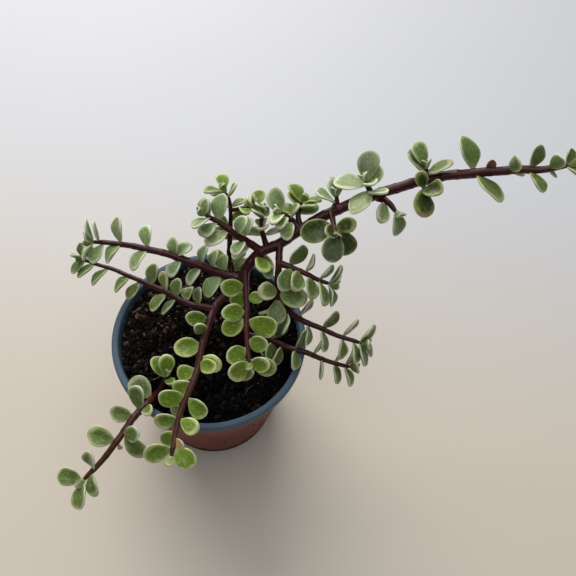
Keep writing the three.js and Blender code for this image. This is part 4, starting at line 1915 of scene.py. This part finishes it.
@dataclass(frozen=True)
class PotFinish:
    """Moulded plastic in two colours: brick red outside, slate blue on the rim and inside.

    One side of the wall is splashed with dirt low down and paler higher up. A near-black band of
    painted shade runs round the foot, where the pot stands on the floor. The lining above the soil
    has dark patches of potting mix that also paint the shade in that recess. Heights and radii are in
    millimetres, and so are the places along the heading.
    """

    wall: Colour = shade(118, 49, 36)
    slate: Colour = shade(87, 105, 121)
    dust_and_shade: Colour = shade(44, 35, 31)
    dirt_and_foot_shade: Colour = shade(14, 6, 5)
    pale_patch: Colour = shade(166, 132, 112)
    lining_edge: Span = (0.4, 0.6)
    cloud_scale: float = 0.05
    fine_scale: float = 0.9
    turning_stretch: Triple = (0.01, 0.01, 1.2)
    front_right_heading: Triple = (0.68, -0.73, 0)
    front_right_edge: Span = (38, 47)
    splash_stretch: Triple = (1, 1, 0.45)
    splash_scale: float = 0.27
    splash_edge: Span = (0.6, 0.63)
    splash_heights: Span = (66, 86)
    splash_share: float = 0.7
    foot_wave: float = 10
    foot_wave_scale: float = 0.15
    foot_heights: Span = (1.5, 6)
    foot_share: float = 0.85
    pale_patch_heights: Span = (50, 100)
    pale_patch_share: float = 0.5
    wall_shading: Span = (0.8, 1.2)
    slate_shading: Span = (0.85, 1.15)
    dust_scale: float = 0.35
    dust_edge: Span = (0.4, 0.6)
    dust_heights: Span = (104, 109)
    dust_radii: Span = (56.2, 57)
    dust_and_shade_share: float = 0.7
    fine_dust: float = 0.08
    roughness: float = 0.5
    fine_roughness: float = 0.12
    dirt_and_foot_shade_roughness: float = 0.38
    turning_relief: float = 0.6
    fine_relief: float = 0.4
    relief: float = 0.05

    def material(self) -> bpy.types.Material:
        """Makes the material.

        Returns:
            The finish as a material.
        """
        bench = Bench("pot_plastic")
        place = bench.layer("pot_place", "Vector")
        lining = bench.rise(bench.layer("pot_lining"), *self.lining_edge)
        height = bench.node("ShaderNodeSeparateXYZ", None, {0: place}, "Z")
        clouds = bench.grain(place, self.cloud_scale)
        fine = bench.grain(place, self.fine_scale)
        turning = bench.grain(bench.scaled(place, self.turning_stretch), 1)
        front_right = bench.rise(bench.ahead(place, self.front_right_heading), *self.front_right_edge)
        dirt_and_foot_shade_share = self.dirt_and_foot_shade_layer(bench, place, height, front_right)
        # The wall grows paler towards the top on its front right side.
        paled = self.pale_patch_share * front_right * bench.rise(height, *self.pale_patch_heights) * clouds
        wall = bench.mix(bench.mix(self.wall, self.pale_patch, paled), self.dirt_and_foot_shade, dirt_and_foot_shade_share)
        slate = self.slate_layer(bench, place, fine, height)
        wall = bench.dimmed(wall, between(self.wall_shading, clouds))
        slate = bench.dimmed(slate, between(self.slate_shading, clouds))
        rough = self.roughness + self.fine_roughness * fine + self.dirt_and_foot_shade_roughness * dirt_and_foot_shade_share
        relief = self.turning_relief * turning + self.fine_relief * fine
        return bench.finish({
            "Base Color": bench.mix(wall, slate, lining),
            "Roughness": rough,
            "Normal": bench.bump(relief, self.relief),
            "Specular IOR Level": 0.18,
        })

    def dirt_and_foot_shade_layer(self, bench: Bench, place: Signal, height: Signal, front_right: Signal) -> Signal:
        """Spreads the dirt splashes and the band of painted shade at the foot.

        Args:
            bench: the material in the making.
            place: the place on the pot.
            height: its height.
            front_right: how far it is on the front right side of the pot.

        Returns:
            The share of the dark colour on the wall: dirt in the splashes, painted shade at the foot.
        """
        drips = bench.grain(bench.scaled(place, self.splash_stretch), self.splash_scale)
        splashes = bench.rise(drips, *self.splash_edge)
        splashes = splashes * (1 - bench.rise(height, *self.splash_heights)) * front_right
        # Painted shade: a near-black band with a wavy top runs round the foot, where the pot stands
        # on the floor.
        wave = self.foot_wave * bench.grain(place, self.foot_wave_scale)
        low = 1 - bench.rise(height - wave, *self.foot_heights)
        return self.splash_share * splashes + self.foot_share * low * (1 - splashes)

    def slate_layer(self, bench: Bench, place: Signal, fine: Signal, height: Signal) -> Signal:
        """Dusts the lining with potting mix on the wall above the soil; the same dark patches also
        paint the shade in that recess.

        Args:
            bench: the material in the making.
            place: the place on the pot.
            fine: a fine grain over the pot.
            height: the place's height.

        Returns:
            The lining's colour.
        """
        flat = bench.scaled(place, (1, 1, 0))
        radius = bench.node("ShaderNodeVectorMath", {"operation": "LENGTH"}, {0: flat}, "Value")
        # Potting mix on the lining and painted shade: dark patches between the soil and the rim.
        dust_and_shade_mask = bench.rise(bench.grain(place, self.dust_scale), *self.dust_edge)
        dust_and_shade_mask = dust_and_shade_mask * (1 - bench.rise(height, *self.dust_heights))
        dust_and_shade_mask = dust_and_shade_mask * (1 - bench.rise(radius, *self.dust_radii))
        return bench.mix(self.slate, self.dust_and_shade, self.dust_and_shade_share * dust_and_shade_mask + self.fine_dust * fine)


@dataclass(frozen=True)
class PottingMixFinish:
    """Dark mix whose drier crumbs are brown, with a painted shadow that darkens it towards the front
    right.
    """

    damp: Colour = shade(25, 17, 14)
    dry: Colour = shade(152, 122, 106)
    coarse_scale: float = 0.35
    fine_scale: float = 2.2
    coarse_share: float = 0.5
    fine_share: float = 0.6
    dry_edge: Span = (0.1, 1.1)
    shadow_heading: Triple = (0.6, -0.8, 0)
    shadow_reach: Span = (-50, 20)
    shadow_depth: float = 0.88
    roughness: Span = (0.8, 1)
    relief: float = 0.4

    def material(self) -> bpy.types.Material:
        """Makes the material.

        Returns:
            The finish as a material.
        """
        bench = Bench("potting_mix")
        place = bench.layer("mix_place", "Vector")
        coarse = bench.grain(place, self.coarse_scale)
        fine = bench.grain(place, self.fine_scale)
        tone = bench.layer("mix_tone")
        tone = tone + self.coarse_share * (coarse - 0.5) + self.fine_share * (fine - 0.5)
        colour = bench.mix(self.damp, self.dry, bench.rise(tone, *self.dry_edge))
        # Painted shadow: the mix darkens towards the front right, where the plant shades it.
        dampness = bench.rise(bench.ahead(place, self.shadow_heading), *self.shadow_reach)
        return bench.finish({
            "Base Color": bench.dimmed(colour, 1 - self.shadow_depth * dampness),
            "Roughness": between(self.roughness, fine),
            "Normal": bench.bump(fine, self.relief),
            "Specular IOR Level": 0.15,
        })


@dataclass(frozen=True)
class RootFinish:
    """Dry, straw-brown root fibre. Its grain is scaled in metres."""

    light: Colour = shade(178, 154, 126)
    dark: Colour = shade(104, 78, 56)
    grain_scale: float = 900
    grain_edge: Span = (0.3, 0.7)
    relief: float = 0.1

    def material(self) -> bpy.types.Material:
        """Makes the material.

        Returns:
            The finish as a material.
        """
        bench = Bench("root_fibre")
        place = bench.node("ShaderNodeTexCoord", None, None, "Object")
        grain = bench.grain(place, self.grain_scale)
        return bench.finish({
            "Base Color": bench.mix(self.dark, self.light, bench.rise(grain, *self.grain_edge)),
            "Roughness": 0.85,
            "Normal": bench.bump(grain, self.relief),
        })


# ---------------------------------------------------------------- studio


@dataclass
class Studio:
    """The pale floor, the soft light and the camera. Lengths are in metres."""

    floor_size: float = 6
    # Painted light: the pale floor runs from warm near the camera to cool at the back, a tint of warm
    # and cool light.
    floor_near_warm_light: Colour = shade(224, 212, 195)
    floor_far_cool_light: Colour = shade(218, 218, 221)
    floor_reach: Span = (-0.05, 0.28)
    floor_scale: float = 3
    floor_shading: Span = (0.98, 1.02)
    lens: float = 37.5
    clip_start: float = 0.01
    elevation: float = 59.76
    roll: float = 7.77
    distance: float = 0.393479
    target: Triple = (0.0441234, 0.0407825, 0.110029)
    window_place: Triple = (-0.6, 1.35, 1.2)
    window_size: float = 1.7
    window_power: float = 30
    window_colour: Triple = (1.0, 0.98, 0.95)
    ceiling_height: float = 1.7
    ceiling_size: float = 2.2
    ceiling_power: float = 13
    ceiling_colour: Triple = (0.92, 0.96, 1.0)
    sky: Colour = (0.86, 0.93, 1.0, 1.0)
    sky_strength: float = 0.13

    def build(self) -> None:
        """Sets up everything round the object."""
        scene = bpy.context.scene
        scene.view_settings.view_transform = "Standard"
        self.build_floor()
        self.build_light()
        self.build_camera()

    def build_floor(self) -> None:
        """Lays the floor, whose colour paints warm light near the camera and cool light at the back.
        """
        half = self.floor_size / 2
        mesh = bpy.data.meshes.new("floor")
        corners = [(-half, -half, 0), (half, -half, 0), (half, half, 0), (-half, half, 0)]
        mesh.from_pydata(corners, [], [(0, 1, 2, 3)])
        bench = Bench("pale_floor")
        place = bench.node("ShaderNodeTexCoord", None, None, "Object")
        back = bench.node("ShaderNodeSeparateXYZ", None, {0: place}, "Y")
        colour = bench.mix(self.floor_near_warm_light, self.floor_far_cool_light, bench.rise(back, *self.floor_reach))
        shading = between(self.floor_shading, bench.grain(place, self.floor_scale))
        colour = bench.dimmed(colour, shading)
        mesh.materials.append(bench.finish({"Base Color": colour, "Roughness": 0.6}))
        floor = bpy.data.objects.new("floor", mesh)
        bpy.context.scene.collection.objects.link(floor)

    def build_light(self) -> None:
        """Hangs a window of light behind, a paler ceiling above, and an even glow all round."""
        window = self.window_size, self.window_power, self.window_colour
        self.hang("window", self.window_place, *window)
        above = (self.target[0], self.target[1], self.ceiling_height)
        self.hang("ceiling", above, self.ceiling_size, self.ceiling_power, self.ceiling_colour)
        world = bpy.data.worlds.new("sky")
        world.use_nodes = True
        background = world.node_tree.nodes["Background"]
        background.inputs["Color"].default_value = self.sky
        background.inputs["Strength"].default_value = self.sky_strength
        bpy.context.scene.world = world

    def hang(
        self,
        name: str,
        place: Triple,
        size: float,
        power: float,
        colour: Triple,
    ) -> None:
        """Hangs a round soft light that looks at the plant.

        Args:
            name: its name.
            place: where it hangs.
            size: its width.
            power: its power in watts.
            colour: its colour.
        """
        light = bpy.data.lights.new(name, "AREA")
        light.shape = "DISK"
        light.size = size
        light.energy = power
        light.color = colour
        lamp = bpy.data.objects.new(name, light)
        lamp.location = place
        aim = Vector(self.target) - lamp.location
        lamp.rotation_euler = aim.to_track_quat("-Z", "Y").to_euler()
        bpy.context.scene.collection.objects.link(lamp)

    def build_camera(self) -> None:
        """Sets the camera up in front and above, a little rolled."""
        camera = bpy.data.cameras.new("camera")
        camera.lens = self.lens
        camera.clip_start = self.clip_start
        lean, roll = math.radians(self.elevation), math.radians(self.roll)
        ahead = Vector((0, math.cos(lean), -math.sin(lean)))
        level, high = Vector((1, 0, 0)), Vector((0, math.sin(lean), math.cos(lean)))
        right = math.cos(roll) * level + math.sin(roll) * high
        above = math.cos(roll) * high - math.sin(roll) * level
        viewer = bpy.data.objects.new("camera", camera)
        turn = Matrix((right, above, -ahead)).transposed().to_4x4()
        viewer.matrix_world = Matrix.Translation(Vector(self.target) - ahead * self.distance) @ turn
        bpy.context.scene.collection.objects.link(viewer)
        bpy.context.scene.camera = viewer


def main() -> None:
    """Builds the studio and every part of the object in turn."""
    logging.basicConfig(level=logging.INFO, format="%(message)s")
    logging.info("dressing %d packed nodes", len(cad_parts))
    Studio().build()
    pot = Pot()
    pot.build()
    PottingMix(pot).build()
    Plant().build(pot)


if __name__ == "__main__":
    main()
